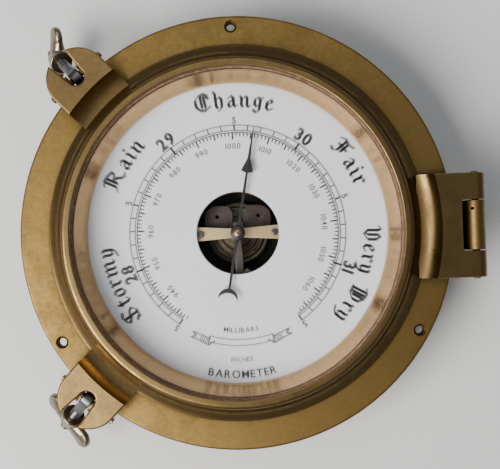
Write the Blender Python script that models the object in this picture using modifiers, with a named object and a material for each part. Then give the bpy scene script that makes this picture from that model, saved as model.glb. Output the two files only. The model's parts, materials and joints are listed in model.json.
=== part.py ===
"""Aneroid barometer in a porthole-style brass case with a hinged glass door.

The object lies on its back: +Z points out of the dial, +Y to twelve o'clock and
+X to the door hinge. The origin is the centre of the back cover's rear face.
Dimensions are in millimetres and become metres through MM.
"""
import math

import bmesh
import bpy
from mathutils import Matrix, Vector

MM = 0.001
FULL_TURN = 2.0 * math.pi
GAP = 0.3                    # clearance between touching pieces
PIN_PLAY = 0.1               # radial clearance of a pin in its hole
NUT_PLAY = 0.2               # the same for a nut on its bolt
RING_STEPS = 64
SMALL_STEPS = 16

# --- case -------------------------------------------------------------------
FLANGE_R = 100.0
FLANGE_BORE_R = 76.5
FLANGE_BACK_Z = 34.0
FLANGE_FACE_Z = 39.0
FLANGE_SCREW_CIRCLE_R = 95.0
FLANGE_SCREW_ANGLES = (90.0, 210.0, 330.0)
FLANGE_SCREW_HOLE_R = 1.9
FLANGE_COUNTERSINK_R = 2.9
FLANGE_COUNTERSINK_DEPTH = 1.2
DRUM_R = 82.0
DRUM_WALL = 2.0
DRUM_SEAT_R = 83.0
DRUM_SEAT_DEPTH = 1.5
COVER_THICKNESS = 2.0
COVER_SCREW_CIRCLE_R = 77.0
COVER_SCREW_ANGLES = (30.0, 150.0, 270.0)
BEZEL_TOP_R = 75.0
BEZEL_FOOT_R = 70.5
BEZEL_TOP_Z = 40.8

# --- door -------------------------------------------------------------------
DOOR_FOOT_R = 86.3
DOOR_FOOT_Z = FLANGE_FACE_Z + GAP
DOOR_TOP_Z = 50.0
DOOR_BEAD_R = 79.8
DOOR_LIP_R = 75.2
DOOR_REBATE_R = 78.4
GLASS_R = 78.0
GLASS_Z = (43.0, 46.0)
GASKET_BORE_R = 74.5
PLATE_TOP_Z = 49.0
COVE_FLOOR_Z = 41.5
COVE_FOOT_R = 88.5
COVE_TOP_R = 92.4

# --- clamp ears and swing bolts -----------------------------------------------
SIDES = ("upper", "lower")
EAR_ANGLES = (134.0, 226.0)
EAR_HALF_WIDTH = 14.3
EAR_TIP_R = 114.0
EAR_UNDER_Z = 43.4
SLOT_END_R = 101.0
SLOT_HALF_WIDTH = 3.8
SLOT_MOUTH_HALF_WIDTH = 4.9
DOG_PIVOT_R = 103.0
DOG_PIVOT_Z = 38.5
DOG_PIN_R = 1.5
DOG_PIN_HALF_LENGTH = 15.6
DOG_EYE_R = 4.0
DOG_EYE_HALF_WIDTH = 2.6
LUG_HALF_WIDTH = 13.2
BOLT_R = 2.5
BOLT_LENGTH = 30.0
BOLT_DROOP = 45.0            # degrees below the flange plane when hanging open
NUT_START = 18.5
NUT_HEIGHT = 8.0
NUT_R = 5.4
NUT_SPINS = (-48.0, 14.0)      # degrees each nut is turned from the tangent
WING_SPAN = 14.6
WING_LOBE_R = 4.6
WING_THICKNESS = 3.0

# --- door hinge -------------------------------------------------------------
HINGE_X = 108.2
HINGE_Z = 44.7
HINGE_BARREL_R = 4.3
HINGE_HALF_LENGTH = 23.6
HINGE_PIN_R = 1.6
KNUCKLE_HALF_LENGTH = 11.2
CUTOUT_X = 101.3
CUTOUT_HALF_WIDTH = 11.7

# --- dial and movement --------------------------------------------------------
DIAL_R = 72.5
DIAL_Z = (28.0, 29.0)
DIAL_HOLE_R = 19.45
HAND_Z = (31.5, 32.1)
HAND_ANGLE = 79.5            # degrees from +X, where 29.5 inches stands at 90
HAND_TIP_R = 50.0
MOVEMENT_PLATE_R = 36.0
MOVEMENT_PLATE_Z = (5.0, 6.5)
MOVEMENT_SCREW_R = 31.0
MOVEMENT_SCREW_ANGLES = (30.0, 150.0, 270.0)
DIAL_PILLAR_ANGLES = (90.0, 210.0, 330.0)
CAPSULE_R = 15.0
CAPSULE_Z = (8.2, 13.0)
CORRUGATION_PITCH = 3.0
CORRUGATION_DEPTH = 0.35
SPRING_Z = (15.0, 16.0)
LEVER_Z = (18.0, 19.3)
LEVER_PIVOT_Y = 4.0
SPRING_POST_X = 12.3
SPRING_POST_Y = 11.3
SPRING_POST_R = 1.3
BEARING_BAR_Z = (20.0, 20.8)
BRIDGE_Z = (24.0, 25.0)
BRIDGE_PILLAR_X = 17.5
SHAFT_Y = -22.5
SHAFT_Z = 11.0
LINK_Y = -19.5
CHAIN_X = -1.3
CHAIN_Z = 22.4
PULLEY_R = 0.8
ADJUSTER_Y = 22.5
ADJUSTER_R = 1.3
FRAME_SCREWS = ((3.7, -19.6), (-3.7, -24.6))
FRAME_HALF_WIDTH = 10.2
CHEEK = 1.2


# --- materials ----------------------------------------------------------------
MATERIALS = {
    "case_brass": ((0.42, 0.29, 0.13), 0.38, 1.0),
    "door_brass": ((0.36, 0.25, 0.12), 0.35, 1.0),
    "bezel_brass": ((0.62, 0.43, 0.20), 0.18, 1.0),
    "movement_brass": ((0.58, 0.42, 0.20), 0.30, 1.0),
    "nut_bronze": ((0.24, 0.19, 0.13), 0.45, 1.0),
    "steel": ((0.42, 0.43, 0.44), 0.35, 1.0),
    "capsule_metal": ((0.50, 0.50, 0.48), 0.32, 1.0),
    "dial_silvered": ((0.74, 0.76, 0.80), 0.50, 0.2),
    "hand_black": ((0.015, 0.015, 0.018), 0.35, 0.0),
    "gasket_rubber": ((0.17, 0.07, 0.04), 0.70, 0.0),
    "glass": ((0.90, 0.93, 0.92), 0.03, 0.0),
}


def material(slot):
    """Return the Principled material of one slot, made on first use."""
    found = bpy.data.materials.get(slot)
    if found:
        return found
    colour, roughness, metallic = MATERIALS[slot]
    made = bpy.data.materials.new(slot)
    made.use_nodes = True
    shader = made.node_tree.nodes["Principled BSDF"]
    shader.inputs["Base Color"].default_value = (*colour, 1.0)
    shader.inputs["Roughness"].default_value = roughness
    shader.inputs["Metallic"].default_value = metallic
    if slot == "glass":
        shader.inputs["Transmission Weight"].default_value = 1.0
    return made


# --- scene and collections ----------------------------------------------------
def clear_scene():
    for old in list(bpy.data.objects):
        bpy.data.objects.remove(old, do_unlink=True)


def new_collection(name):
    made = bpy.data.collections.new(name)
    bpy.context.scene.collection.children.link(made)
    return made


clear_scene()
PARTS = new_collection("aneroid_barometer")
TOOLS = new_collection("cutters")


# --- modelling helpers ----------------------------------------------------------
def as_object(name, data):
    """Link a mesh or curve as a helper shape until it is kept or used."""
    made = bpy.data.objects.new(name, data)
    TOOLS.objects.link(made)
    made.hide_render = True
    made.display_type = "WIRE"
    return made


def plain_mesh(shape):
    """Turn a shape with modifiers, or a curve, into one welded mesh object."""
    bpy.context.view_layer.update()
    evaluated = shape.evaluated_get(bpy.context.evaluated_depsgraph_get())
    mesh = bpy.data.meshes.new_from_object(evaluated)
    welder = bmesh.new()
    welder.from_mesh(mesh)
    bmesh.ops.remove_doubles(welder, verts=welder.verts, dist=0.000002)
    bmesh.ops.dissolve_degenerate(welder, edges=welder.edges, dist=0.000002)
    bmesh.ops.recalc_face_normals(welder, faces=welder.faces)
    welder.to_mesh(mesh)
    welder.free()
    made = as_object(shape.name, mesh)
    made.matrix_world = shape.matrix_world.copy()
    name = shape.name
    bpy.data.objects.remove(shape, do_unlink=True)
    made.name = name
    return made


def arc(centre, radius, start, end, count):
    """Points along an arc in a plane, from start to end degrees."""
    angles = [math.radians(start + (end - start) * i / count) for i in range(count + 1)]
    return [(centre[0] + radius * math.cos(a), centre[1] + radius * math.sin(a))
            for a in angles]


def signed_area(points):
    pairs = zip(points, points[1:] + points[:1])
    return 0.5 * sum(a[0] * b[1] - b[0] * a[1] for a, b in pairs)


def turned(name, profile, steps=RING_STEPS):
    """Revolve a profile of (radius, height) points about Z.

    A profile whose first and last points lie on the axis makes a solid of
    revolution, any other profile is closed into a ring.
    """
    points = list(profile)
    if signed_area(points) > 0:
        points.reverse()
    on_axis = any(abs(r) < 1e-9 for r, _ in points)
    if on_axis:
        while not (abs(points[0][0]) < 1e-9 and abs(points[-1][0]) < 1e-9):
            points = points[1:] + points[:1]
    builder = bmesh.new()
    verts = [builder.verts.new((r * MM, 0.0, z * MM)) for r, z in points]
    for a, b in zip(verts, verts[1:]):
        builder.edges.new((a, b))
    if not on_axis:
        builder.edges.new((verts[-1], verts[0]))
    mesh = bpy.data.meshes.new(name)
    builder.to_mesh(mesh)
    builder.free()
    made = as_object(name, mesh)
    screw = made.modifiers.new("turn", "SCREW")
    screw.angle = FULL_TURN
    screw.steps = steps
    screw.render_steps = steps
    screw.use_merge_vertices = True
    screw.merge_threshold = 0.000002
    return plain_mesh(made)


def plate(name, outline, z_range, holes=(), bevel=0.0):
    """A flat plate from an outline in XY, with optional hole outlines."""
    curve = bpy.data.curves.new(name, "CURVE")
    curve.dimensions = "2D"
    curve.fill_mode = "BOTH"
    for points in (outline, *holes):
        spline = curve.splines.new("POLY")
        spline.points.add(len(points) - 1)
        for knot, (x, y) in zip(spline.points, points):
            knot.co = (x * MM, y * MM, 0.0, 1.0)
        spline.use_cyclic_u = True
    low, high = z_range
    curve.extrude = ((high - low) * 0.5 - bevel) * MM
    curve.bevel_depth = bevel * MM
    curve.bevel_resolution = 0
    curve.offset = -bevel * MM
    made = plain_mesh(as_object(name, curve))
    slide(made, (0.0, 0.0, (low + high) * 0.5))
    return made


def rod(name, radius, start, end, steps=SMALL_STEPS):
    """A plain cylinder between two points."""
    start, end = Vector(start) * MM, Vector(end) * MM
    axis = end - start
    builder = bmesh.new()
    bmesh.ops.create_cone(builder, cap_ends=True, segments=steps, radius1=radius * MM,
                          radius2=radius * MM, depth=axis.length)
    turn = Vector((0.0, 0.0, 1.0)).rotation_difference(axis).to_matrix().to_4x4()
    bmesh.ops.transform(builder, matrix=Matrix.Translation((start + end) * 0.5) @ turn,
                        verts=builder.verts)
    mesh = bpy.data.meshes.new(name)
    builder.to_mesh(mesh)
    builder.free()
    return as_object(name, mesh)


def box(name, low, high):
    """A plain block between two corners."""
    low, high = Vector(low) * MM, Vector(high) * MM
    builder = bmesh.new()
    bmesh.ops.create_cube(builder, size=1.0)
    scale = Matrix.Diagonal((*(high - low), 1.0))
    bmesh.ops.transform(builder, matrix=Matrix.Translation((low + high) * 0.5) @ scale,
                        verts=builder.verts)
    mesh = bpy.data.meshes.new(name)
    builder.to_mesh(mesh)
    builder.free()
    return as_object(name, mesh)


def move(shape, matrix):
    """Transform a shape's mesh in place."""
    shape.data.transform(matrix)
    return shape


def slide(shape, offset):
    return move(shape, Matrix.Translation(Vector(offset) * MM))


def spin(shape, degrees, axis="Z"):
    return move(shape, Matrix.Rotation(math.radians(degrees), 4, axis))


def upright(shape):
    """Stand a plate made in XY up, so that its Y becomes Z and its Z becomes -Y."""
    return spin(shape, 90.0, "X")


def combine(base, operation, tools):
    """Boolean the tools into the base, one after another."""
    for tool in tools:
        step = base.modifiers.new(operation.lower(), "BOOLEAN")
        step.operation = operation
        step.solver = "EXACT"
        step.object = tool
    return plain_mesh(base)


def keep(shape, slot, pivot=(0.0, 0.0, 0.0)):
    """Make a shape a sub-part: its material, its origin and its collection."""
    offset = Vector(pivot) * MM
    shape.data.transform(Matrix.Translation(-offset))
    shape.location = offset
    shape.data.materials.clear()
    shape.data.materials.append(material(slot))
    shape.data.shade_smooth()
    shape.data.set_sharp_from_angle(angle=math.radians(35.0))
    TOOLS.objects.unlink(shape)
    PARTS.objects.link(shape)
    shape.hide_render = False
    shape.display_type = "TEXTURED"
    return shape


def polar(radius, degrees):
    angle = math.radians(degrees)
    return (radius * math.cos(angle), radius * math.sin(angle))


def circle(centre, radius, count=SMALL_STEPS):
    return arc(centre, radius, 0.0, 360.0 * (count - 1) / count, count - 1)


def countersunk_cutter(name, at, hole_r, head_r, face_z, depth, z_end):
    """A through hole with a cone at its mouth, for a screw entering from face_z."""
    side = 1.0 if face_z > z_end else -1.0
    profile = [(0.0, face_z + side), (head_r, face_z + side), (head_r, face_z),
               (hole_r, face_z - side * depth), (hole_r, z_end), (0.0, z_end)]
    return slide(turned(name, profile, SMALL_STEPS), (*at, 0.0))


def countersunk_screw(name, at, shank_r, head_r, face_z, depth, z_end, slot):
    """A slotted countersunk screw whose flat head lies in the plane face_z."""
    side = 1.0 if face_z > z_end else -1.0
    profile = [(0.0, face_z), (head_r, face_z), (shank_r, face_z - side * depth),
               (shank_r, z_end), (0.0, z_end)]
    screw = slide(turned(name, profile, SMALL_STEPS), (*at, 0.0))
    slot_depth = 0.45 * depth
    cutter = box("screw_slot", (at[0] - 2.0 * head_r, at[1] - 0.3, face_z - slot_depth),
                 (at[0] + 2.0 * head_r, at[1] + 0.3, face_z + slot_depth))
    return keep(combine(screw, "DIFFERENCE", [cutter]), slot, (*at, 0.0))


def cheese_screw(name, at, shank_r, head_r, seat_z, head_height, z_end, slot):
    """A slotted screw with a round head standing on seat_z."""
    top = seat_z + head_height
    profile = [(0.0, top), (head_r - 0.3, top), (head_r, top - 0.3), (head_r, seat_z),
               (shank_r, seat_z), (shank_r, z_end), (0.0, z_end)]
    screw = slide(turned(name, profile, SMALL_STEPS), (*at, 0.0))
    cutter = box("screw_slot", (at[0] - 2.0 * head_r, at[1] - 0.25, top - 0.5),
                 (at[0] + 2.0 * head_r, at[1] + 0.25, top + 0.5))
    return keep(combine(screw, "DIFFERENCE", [cutter]), slot, (*at, 0.0))


# --- case -------------------------------------------------------------------
def swing_bolt_lug(angle):
    """Two cheeks beyond the flange rim that carry one swing bolt's pin."""
    root_r = FLANGE_R - 5.5
    outline = [(root_r, FLANGE_BACK_Z + GAP), (FLANGE_R - 1.4, FLANGE_BACK_Z + GAP)]
    outline += arc((DOG_PIVOT_R, DOG_PIVOT_Z), DOG_EYE_R, -120.0, 120.0, 14)
    outline += [(FLANGE_R - 1.4, FLANGE_FACE_Z - GAP), (root_r, FLANGE_FACE_Z - GAP)]
    lug = upright(plate("lug", outline, (-LUG_HALF_WIDTH, LUG_HALF_WIDTH)))
    return spin(lug, angle)


def lug_cutters(angle):
    """The notch for the bolt's eye and the pin hole of one lug."""
    notch_half = DOG_EYE_HALF_WIDTH + 0.5
    notch = box("notch", (DOG_PIVOT_R - DOG_EYE_R - 0.6, -notch_half, FLANGE_BACK_Z - 5.0),
                (DOG_PIVOT_R + 12.0, notch_half, FLANGE_FACE_Z + 5.0))
    hole = rod("pin_hole", DOG_PIN_R + PIN_PLAY, (DOG_PIVOT_R, -20.0, DOG_PIVOT_Z),
               (DOG_PIVOT_R, 20.0, DOG_PIVOT_Z))
    return [spin(notch, angle), spin(hole, angle)]


def mounting_flange():
    profile = [(FLANGE_BORE_R, FLANGE_FACE_Z), (FLANGE_R - 0.9, FLANGE_FACE_Z),
               (FLANGE_R - 0.25, FLANGE_FACE_Z - 0.3), (FLANGE_R, FLANGE_FACE_Z - 0.9),
               (FLANGE_R, FLANGE_BACK_Z + 0.5), (FLANGE_R - 0.5, FLANGE_BACK_Z),
               (DRUM_SEAT_R, FLANGE_BACK_Z), (DRUM_SEAT_R, FLANGE_BACK_Z + DRUM_SEAT_DEPTH),
               (FLANGE_BORE_R, FLANGE_BACK_Z + DRUM_SEAT_DEPTH)]
    ring = turned("mounting_flange", profile)
    knuckle_outline = [(FLANGE_R - 5.0, FLANGE_BACK_Z + 0.4), (FLANGE_R + 5.5, FLANGE_BACK_Z + 0.4)]
    knuckle_outline += arc((HINGE_X, HINGE_Z), HINGE_BARREL_R - 0.1, -35.0, 190.0, 16)
    knuckle_outline += [(FLANGE_R + 3.2, FLANGE_FACE_Z + 0.8), (FLANGE_R + 1.2, FLANGE_FACE_Z - 0.3),
                        (FLANGE_R - 5.0, FLANGE_FACE_Z - 0.3)]
    knuckle = upright(plate("knuckle", knuckle_outline,
                            (-KNUCKLE_HALF_LENGTH, KNUCKLE_HALF_LENGTH)))
    ring = combine(ring, "UNION", [knuckle] + [swing_bolt_lug(a) for a in EAR_ANGLES])
    cutters = [rod("hinge_hole", HINGE_PIN_R + PIN_PLAY, (HINGE_X, -30.0, HINGE_Z),
                   (HINGE_X, 30.0, HINGE_Z))]
    for angle in EAR_ANGLES:
        cutters += lug_cutters(angle)
    for angle in FLANGE_SCREW_ANGLES:
        cutters.append(countersunk_cutter("screw_hole", polar(FLANGE_SCREW_CIRCLE_R, angle),
                                          FLANGE_SCREW_HOLE_R, FLANGE_COUNTERSINK_R,
                                          FLANGE_FACE_Z, FLANGE_COUNTERSINK_DEPTH,
                                          FLANGE_BACK_Z - 1.0))
    keep(combine(ring, "DIFFERENCE", cutters), "case_brass")


def case_drum():
    inner = DRUM_R - DRUM_WALL
    top = FLANGE_BACK_Z + DRUM_SEAT_DEPTH - GAP
    foot = COVER_THICKNESS + GAP
    profile = [(inner, top), (DRUM_R, top), (DRUM_R, foot), (inner - 7.0, foot),
               (inner - 7.0, foot + DRUM_WALL), (inner, foot + DRUM_WALL)]
    drum = turned("case_drum", profile)
    holes = []
    for angle in COVER_SCREW_ANGLES:
        x, y = polar(COVER_SCREW_CIRCLE_R, angle)
        holes.append(rod("screw_hole", 1.6, (x, y, foot - 1.0), (x, y, foot + 4.0), 12))
    keep(combine(drum, "DIFFERENCE", holes), "case_brass")


def back_cover():
    profile = [(0.0, COVER_THICKNESS), (DRUM_R, COVER_THICKNESS), (DRUM_R, 0.6),
               (DRUM_R - 0.6, 0.0), (0.0, 0.0)]
    cover = turned("back_cover", profile)
    cutters = []
    for angle in COVER_SCREW_ANGLES:
        cutters.append(countersunk_cutter("cover_hole", polar(COVER_SCREW_CIRCLE_R, angle),
                                          1.6, 3.0, 0.0, 1.4, COVER_THICKNESS + 1.0))
    for angle in MOVEMENT_SCREW_ANGLES:
        cutters.append(countersunk_cutter("movement_hole", polar(MOVEMENT_SCREW_R, angle),
                                          1.8, 3.2, 0.0, 1.4, COVER_THICKNESS + 1.0))
    cutters.append(rod("adjuster_hole", 4.0, (0.0, ADJUSTER_Y, -1.0), (0.0, ADJUSTER_Y, 4.0)))
    keep(combine(cover, "DIFFERENCE", cutters), "case_brass")
    for number, angle in enumerate(COVER_SCREW_ANGLES, 1):
        countersunk_screw(f"back_cover_screw_{number}", polar(COVER_SCREW_CIRCLE_R, angle),
                          1.25, 2.6, 0.1, 1.35, 5.6, "movement_brass")


def inner_bezel():
    """The polished slope that leads from the door's aperture down to the dial."""
    foot_z = DIAL_Z[1] + GAP
    rise = BEZEL_TOP_Z - foot_z
    steps = 3
    face = []
    for i in range(steps + 1):
        t = i / steps
        bulge = 0.5 * math.sin(math.pi * t)
        face.append((BEZEL_FOOT_R + (BEZEL_TOP_R - BEZEL_FOOT_R) * t + bulge, foot_z + rise * t))
    back = [(BEZEL_TOP_R + 1.2, BEZEL_TOP_Z), (BEZEL_TOP_R + 1.2, BEZEL_TOP_Z - 2.0),
            (BEZEL_FOOT_R + 1.8, foot_z)]
    keep(turned("inner_bezel", face + back), "bezel_brass")


# --- door -------------------------------------------------------------------
def ear_outline():
    """Ear plan: parallel sides, round end, and an open slot that flares outwards."""
    inner_r = DOOR_FOOT_R - 4.0
    round_r = EAR_TIP_R - EAR_HALF_WIDTH
    mouth = math.degrees(math.asin(SLOT_MOUTH_HALF_WIDTH / EAR_HALF_WIDTH))
    outline = [(inner_r, -EAR_HALF_WIDTH)]
    outline += arc((round_r, 0.0), EAR_HALF_WIDTH, -90.0, -mouth, 12)
    outline += [(x, -y) for x, y in arc((SLOT_END_R, 0.0), SLOT_HALF_WIDTH, 90.0, 270.0, 12)]
    outline += arc((round_r, 0.0), EAR_HALF_WIDTH, mouth, 90.0, 12)
    outline.append((inner_r, EAR_HALF_WIDTH))
    return outline


def cove_cutter():
    """A ring that hollows the inner end of the ears and of the hinge plate."""
    radius = 12.0
    chord = Vector((COVE_TOP_R - COVE_FOOT_R, PLATE_TOP_Z - COVE_FLOOR_Z))
    middle = Vector((COVE_FOOT_R, COVE_FLOOR_Z)) + chord * 0.5
    normal = Vector((-chord.y, chord.x)).normalized()
    centre = middle + normal * math.sqrt(radius ** 2 - (chord.length * 0.5) ** 2)
    start = math.degrees(math.atan2(COVE_FLOOR_Z - centre.y, COVE_FOOT_R - centre.x))
    end = math.degrees(math.atan2(PLATE_TOP_Z - centre.y, COVE_TOP_R - centre.x))
    profile = [(DOOR_FOOT_R - 8.0, COVE_FLOOR_Z)]
    profile += arc(centre, radius, start, end, 6)
    profile += [(COVE_TOP_R + 0.2, PLATE_TOP_Z + 4.0), (DOOR_FOOT_R - 8.0, PLATE_TOP_Z + 4.0)]
    return turned("cove", profile)


def hinge_plate():
    """The door's half of the hinge, with two prongs that end in barrels."""
    under = HINGE_Z - HINGE_BARREL_R
    inner = DOOR_FOOT_R - 4.0
    outline = [(inner, under)]
    outline += arc((HINGE_X, HINGE_Z), HINGE_BARREL_R, -90.0, 90.0, 14)
    outline.append((inner, PLATE_TOP_Z))
    leaf = upright(plate("hinge_leaf", outline, (-HINGE_HALF_LENGTH, HINGE_HALF_LENGTH), bevel=0.5))
    corner = 1.4
    left, half = CUTOUT_X, CUTOUT_HALF_WIDTH
    opening = arc((left + corner, half - corner), corner, 90.0, 180.0, 4)
    opening += arc((left + corner, corner - half), corner, 180.0, 270.0, 4)
    opening += [(HINGE_X + 10.0, -half), (HINGE_X + 10.0, half)]
    cutout = plate("cutout", opening, (under - 5.0, PLATE_TOP_Z + 5.0))
    hole = rod("hinge_hole", HINGE_PIN_R + PIN_PLAY, (HINGE_X, -30.0, HINGE_Z),
               (HINGE_X, 30.0, HINGE_Z))
    return combine(leaf, "DIFFERENCE", [cutout, hole, cove_cutter()])


def web(half_width, top_z):
    """The root that joins an ear or the hinge leaf to the foot of the door ring."""
    return box("web", (DOOR_FOOT_R - 4.0, -half_width, DOOR_FOOT_Z),
               (COVE_TOP_R + 2.0, half_width, top_z))


def clamp_ear(angle):
    ear = plate("ear", ear_outline(), (EAR_UNDER_Z, PLATE_TOP_Z), bevel=0.7)
    ear = combine(ear, "UNION", [web(EAR_HALF_WIDTH - 0.2, EAR_UNDER_Z + 0.9)])
    clear_r = DOOR_FOOT_R + GAP
    inside = turned("inside", [(0.0, DOOR_TOP_Z), (clear_r, DOOR_TOP_Z), (clear_r, DOOR_FOOT_Z - 1.0),
                               (0.0, DOOR_FOOT_Z - 1.0)])
    return spin(combine(ear, "DIFFERENCE", [cove_cutter(), inside]), angle)


def door_profile():
    """Section of the door ring: foot, hollow flank, bead, lip and glass rebate."""
    hollow = []
    foot, shoulder = Vector((85.4, 41.0)), Vector((DOOR_BEAD_R, 47.8))
    for i in range(7):
        t = i / 6
        sag = 1.1 * math.sin(math.pi * t)
        point = foot.lerp(shoulder, t) - Vector((0.78, 0.62)) * sag
        hollow.append((point.x, point.y))
    profile = [(DOOR_REBATE_R, DOOR_FOOT_Z), (DOOR_FOOT_R, DOOR_FOOT_Z), (DOOR_FOOT_R, 40.5)]
    profile += hollow
    profile += arc((DOOR_BEAD_R - 2.2, DOOR_TOP_Z - 2.2), 2.2, 5.0, 90.0, 5)
    profile += [(DOOR_LIP_R + 0.6, DOOR_TOP_Z), (DOOR_LIP_R, DOOR_TOP_Z - 0.6)]
    lip_under = GLASS_Z[1] + 1.6
    profile += [(DOOR_LIP_R, lip_under), (DOOR_REBATE_R, lip_under)]
    return profile


def door():
    ring = turned("door_ring", door_profile())
    ring = combine(ring, "UNION", [hinge_plate(), web(HINGE_HALF_LENGTH - 0.2, COVE_FLOOR_Z)])
    pivot = (HINGE_X, 0.0, HINGE_Z)
    keep(ring, "door_brass", pivot)
    for side, angle in zip(SIDES, EAR_ANGLES):
        ear = clamp_ear(angle)
        ear.name = f"clamp_ear_{side}"
        keep(ear, "door_brass", pivot)
    low, high = GLASS_Z
    disc = [(0.0, high), (GLASS_R - 0.3, high), (GLASS_R, high - 0.3), (GLASS_R, low), (0.0, low)]
    keep(turned("door_glass", disc), "glass", pivot)
    gasket_low, gasket_high = high + GAP, high + 1.3
    gasket = [(GASKET_BORE_R, gasket_high), (GLASS_R, gasket_high), (GLASS_R, gasket_low),
              (GASKET_BORE_R, gasket_low)]
    keep(turned("glass_gasket", gasket), "gasket_rubber", pivot)
    ring_high, ring_low = low - GAP, low - 1.6
    retainer = [(75.6, ring_high), (GLASS_R, ring_high), (GLASS_R, ring_low), (75.6, ring_low)]
    keep(turned("glass_retaining_ring", retainer), "door_brass", pivot)


def hinge_pin():
    end = HINGE_HALF_LENGTH + 0.7
    pin = rod("hinge_pin", HINGE_PIN_R, (HINGE_X, -end, HINGE_Z), (HINGE_X, end, HINGE_Z))
    keep(pin, "case_brass", (HINGE_X, 0.0, HINGE_Z))


# --- swing bolts --------------------------------------------------------------
def dog_placement(angle):
    """Matrix from bolt space, along +X with its pin at the origin, to the case."""
    x, y = polar(DOG_PIVOT_R, angle)
    turn = Matrix.Rotation(math.radians(angle), 4, "Z")
    droop = Matrix.Rotation(math.radians(BOLT_DROOP), 4, "Y")
    return Matrix.Translation(Vector((x, y, DOG_PIVOT_Z)) * MM) @ turn @ droop


def swing_bolt(name, angle):
    eye = rod(name, DOG_EYE_R, (0.0, -DOG_EYE_HALF_WIDTH, 0.0), (0.0, DOG_EYE_HALF_WIDTH, 0.0), 32)
    shank_profile = [(0.0, 0.0), (BOLT_R, 0.0), (BOLT_R, BOLT_LENGTH - 0.8),
                     (BOLT_R - 0.8, BOLT_LENGTH), (0.0, BOLT_LENGTH)]
    shank = spin(turned("shank", shank_profile, SMALL_STEPS), 90.0, "Y")
    slide(shank, (DOG_PIN_R + 1.0, 0.0, 0.0))
    shank = combine(shank, "INTERSECT", [box("trim", (2.2, -4.0, -4.0), (BOLT_LENGTH, 4.0, 4.0))])
    bolt = combine(eye, "UNION", [shank])
    hole = rod("eye_hole", DOG_PIN_R + PIN_PLAY, (0.0, -10.0, 0.0), (0.0, 10.0, 0.0))
    bolt = move(combine(bolt, "DIFFERENCE", [hole]), dog_placement(angle))
    keep(bolt, "steel", (*polar(DOG_PIVOT_R, angle), DOG_PIVOT_Z))


def wing_outline():
    """Both wings as one outline; X runs along the bolt, away from its pin."""
    upper = [(NUT_START + 1.6, 3.0), (NUT_START + 2.4, 7.0)]
    upper += arc((NUT_START + 6.6, WING_SPAN - WING_LOBE_R), WING_LOBE_R, 190.0, 0.0, 12)
    upper += [(NUT_START + 8.6, 6.0), (NUT_START + 7.4, 3.0)]
    return upper + [(x, -y) for x, y in reversed(upper)]


def wing_nut(name, angle, spin_degrees):
    top = NUT_START + NUT_HEIGHT
    core = 1.0                      # inside the bore, so the cut below leaves one clean wall
    section = [(core, NUT_START), (NUT_R, NUT_START), (NUT_R + 0.3, NUT_START + 1.2),
               (NUT_R - 0.6, NUT_START + 4.0), (NUT_R - 1.0, top - 0.6), (NUT_R - 1.5, top),
               (core, top)]
    collar = spin(turned(name, section, 32), 90.0, "Y")
    half = WING_THICKNESS * 0.5
    wings = plate("wings", wing_outline(), (-half, half), bevel=0.5)
    nut = combine(collar, "UNION", [wings])
    hole = rod("nut_bore", BOLT_R + NUT_PLAY, (NUT_START - 5.0, 0.0, 0.0),
               (top + 9.0, 0.0, 0.0), 32)
    nut = combine(nut, "DIFFERENCE", [hole])
    spin(nut, spin_degrees, "X")
    move(nut, dog_placement(angle))
    centre = dog_placement(angle) @ (Vector((NUT_START + 4.0, 0.0, 0.0)) * MM)
    keep(nut, "nut_bronze", centre / MM)


def dogs():
    for side, angle, nut_spin in zip(SIDES, EAR_ANGLES, NUT_SPINS):
        swing_bolt(f"swing_bolt_{side}", angle)
        wing_nut(f"wing_nut_{side}", angle, nut_spin)
        pin = rod(f"dog_pin_{side}", DOG_PIN_R, (DOG_PIVOT_R, -DOG_PIN_HALF_LENGTH, DOG_PIVOT_Z),
                  (DOG_PIVOT_R, DOG_PIN_HALF_LENGTH, DOG_PIVOT_Z))
        keep(spin(pin, angle), "nut_bronze", (*polar(DOG_PIVOT_R, angle), DOG_PIVOT_Z))


# --- dial and hand --------------------------------------------------------------
def dial_plate():
    low, high = DIAL_Z
    profile = [(DIAL_HOLE_R, high), (DIAL_R, high), (DIAL_R, low), (DIAL_HOLE_R, low)]
    keep(turned("dial_plate", profile), "dial_silvered")


def hand_outline():
    """Hand pointing along +X: arrowhead swept back, thin stem, crescent tail."""
    stem, tip = 0.55, HAND_TIP_R
    upper = [(2.6, 1.3), (6.0, stem + 0.2), (28.5, stem), (29.2, 2.9), (35.2, stem + 0.15),
             (tip, 0.2)]
    lower = [(x, -y) for x, y in reversed(upper)]
    horn = arc((-31.0, 0.0), 4.7, -100.0, 100.0, 12)
    inner = arc((-33.3, 0.0), 4.9, 64.0, -64.0, 8)
    back = [(-6.0, -stem - 0.2), (-26.3, -stem)]
    back += [(x, y) for x, y in reversed(horn) if y < -stem and x > -31.9]
    back += [(x, y) for x, y in reversed(inner) if x > -31.9]
    back += [(x, y) for x, y in reversed(horn) if y > stem and x > -31.9]
    back += [(-26.3, stem), (-6.0, stem + 0.2)]
    return upper + lower + [(-2.6, -1.3)] + back + [(-2.6, 1.3)]


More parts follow.
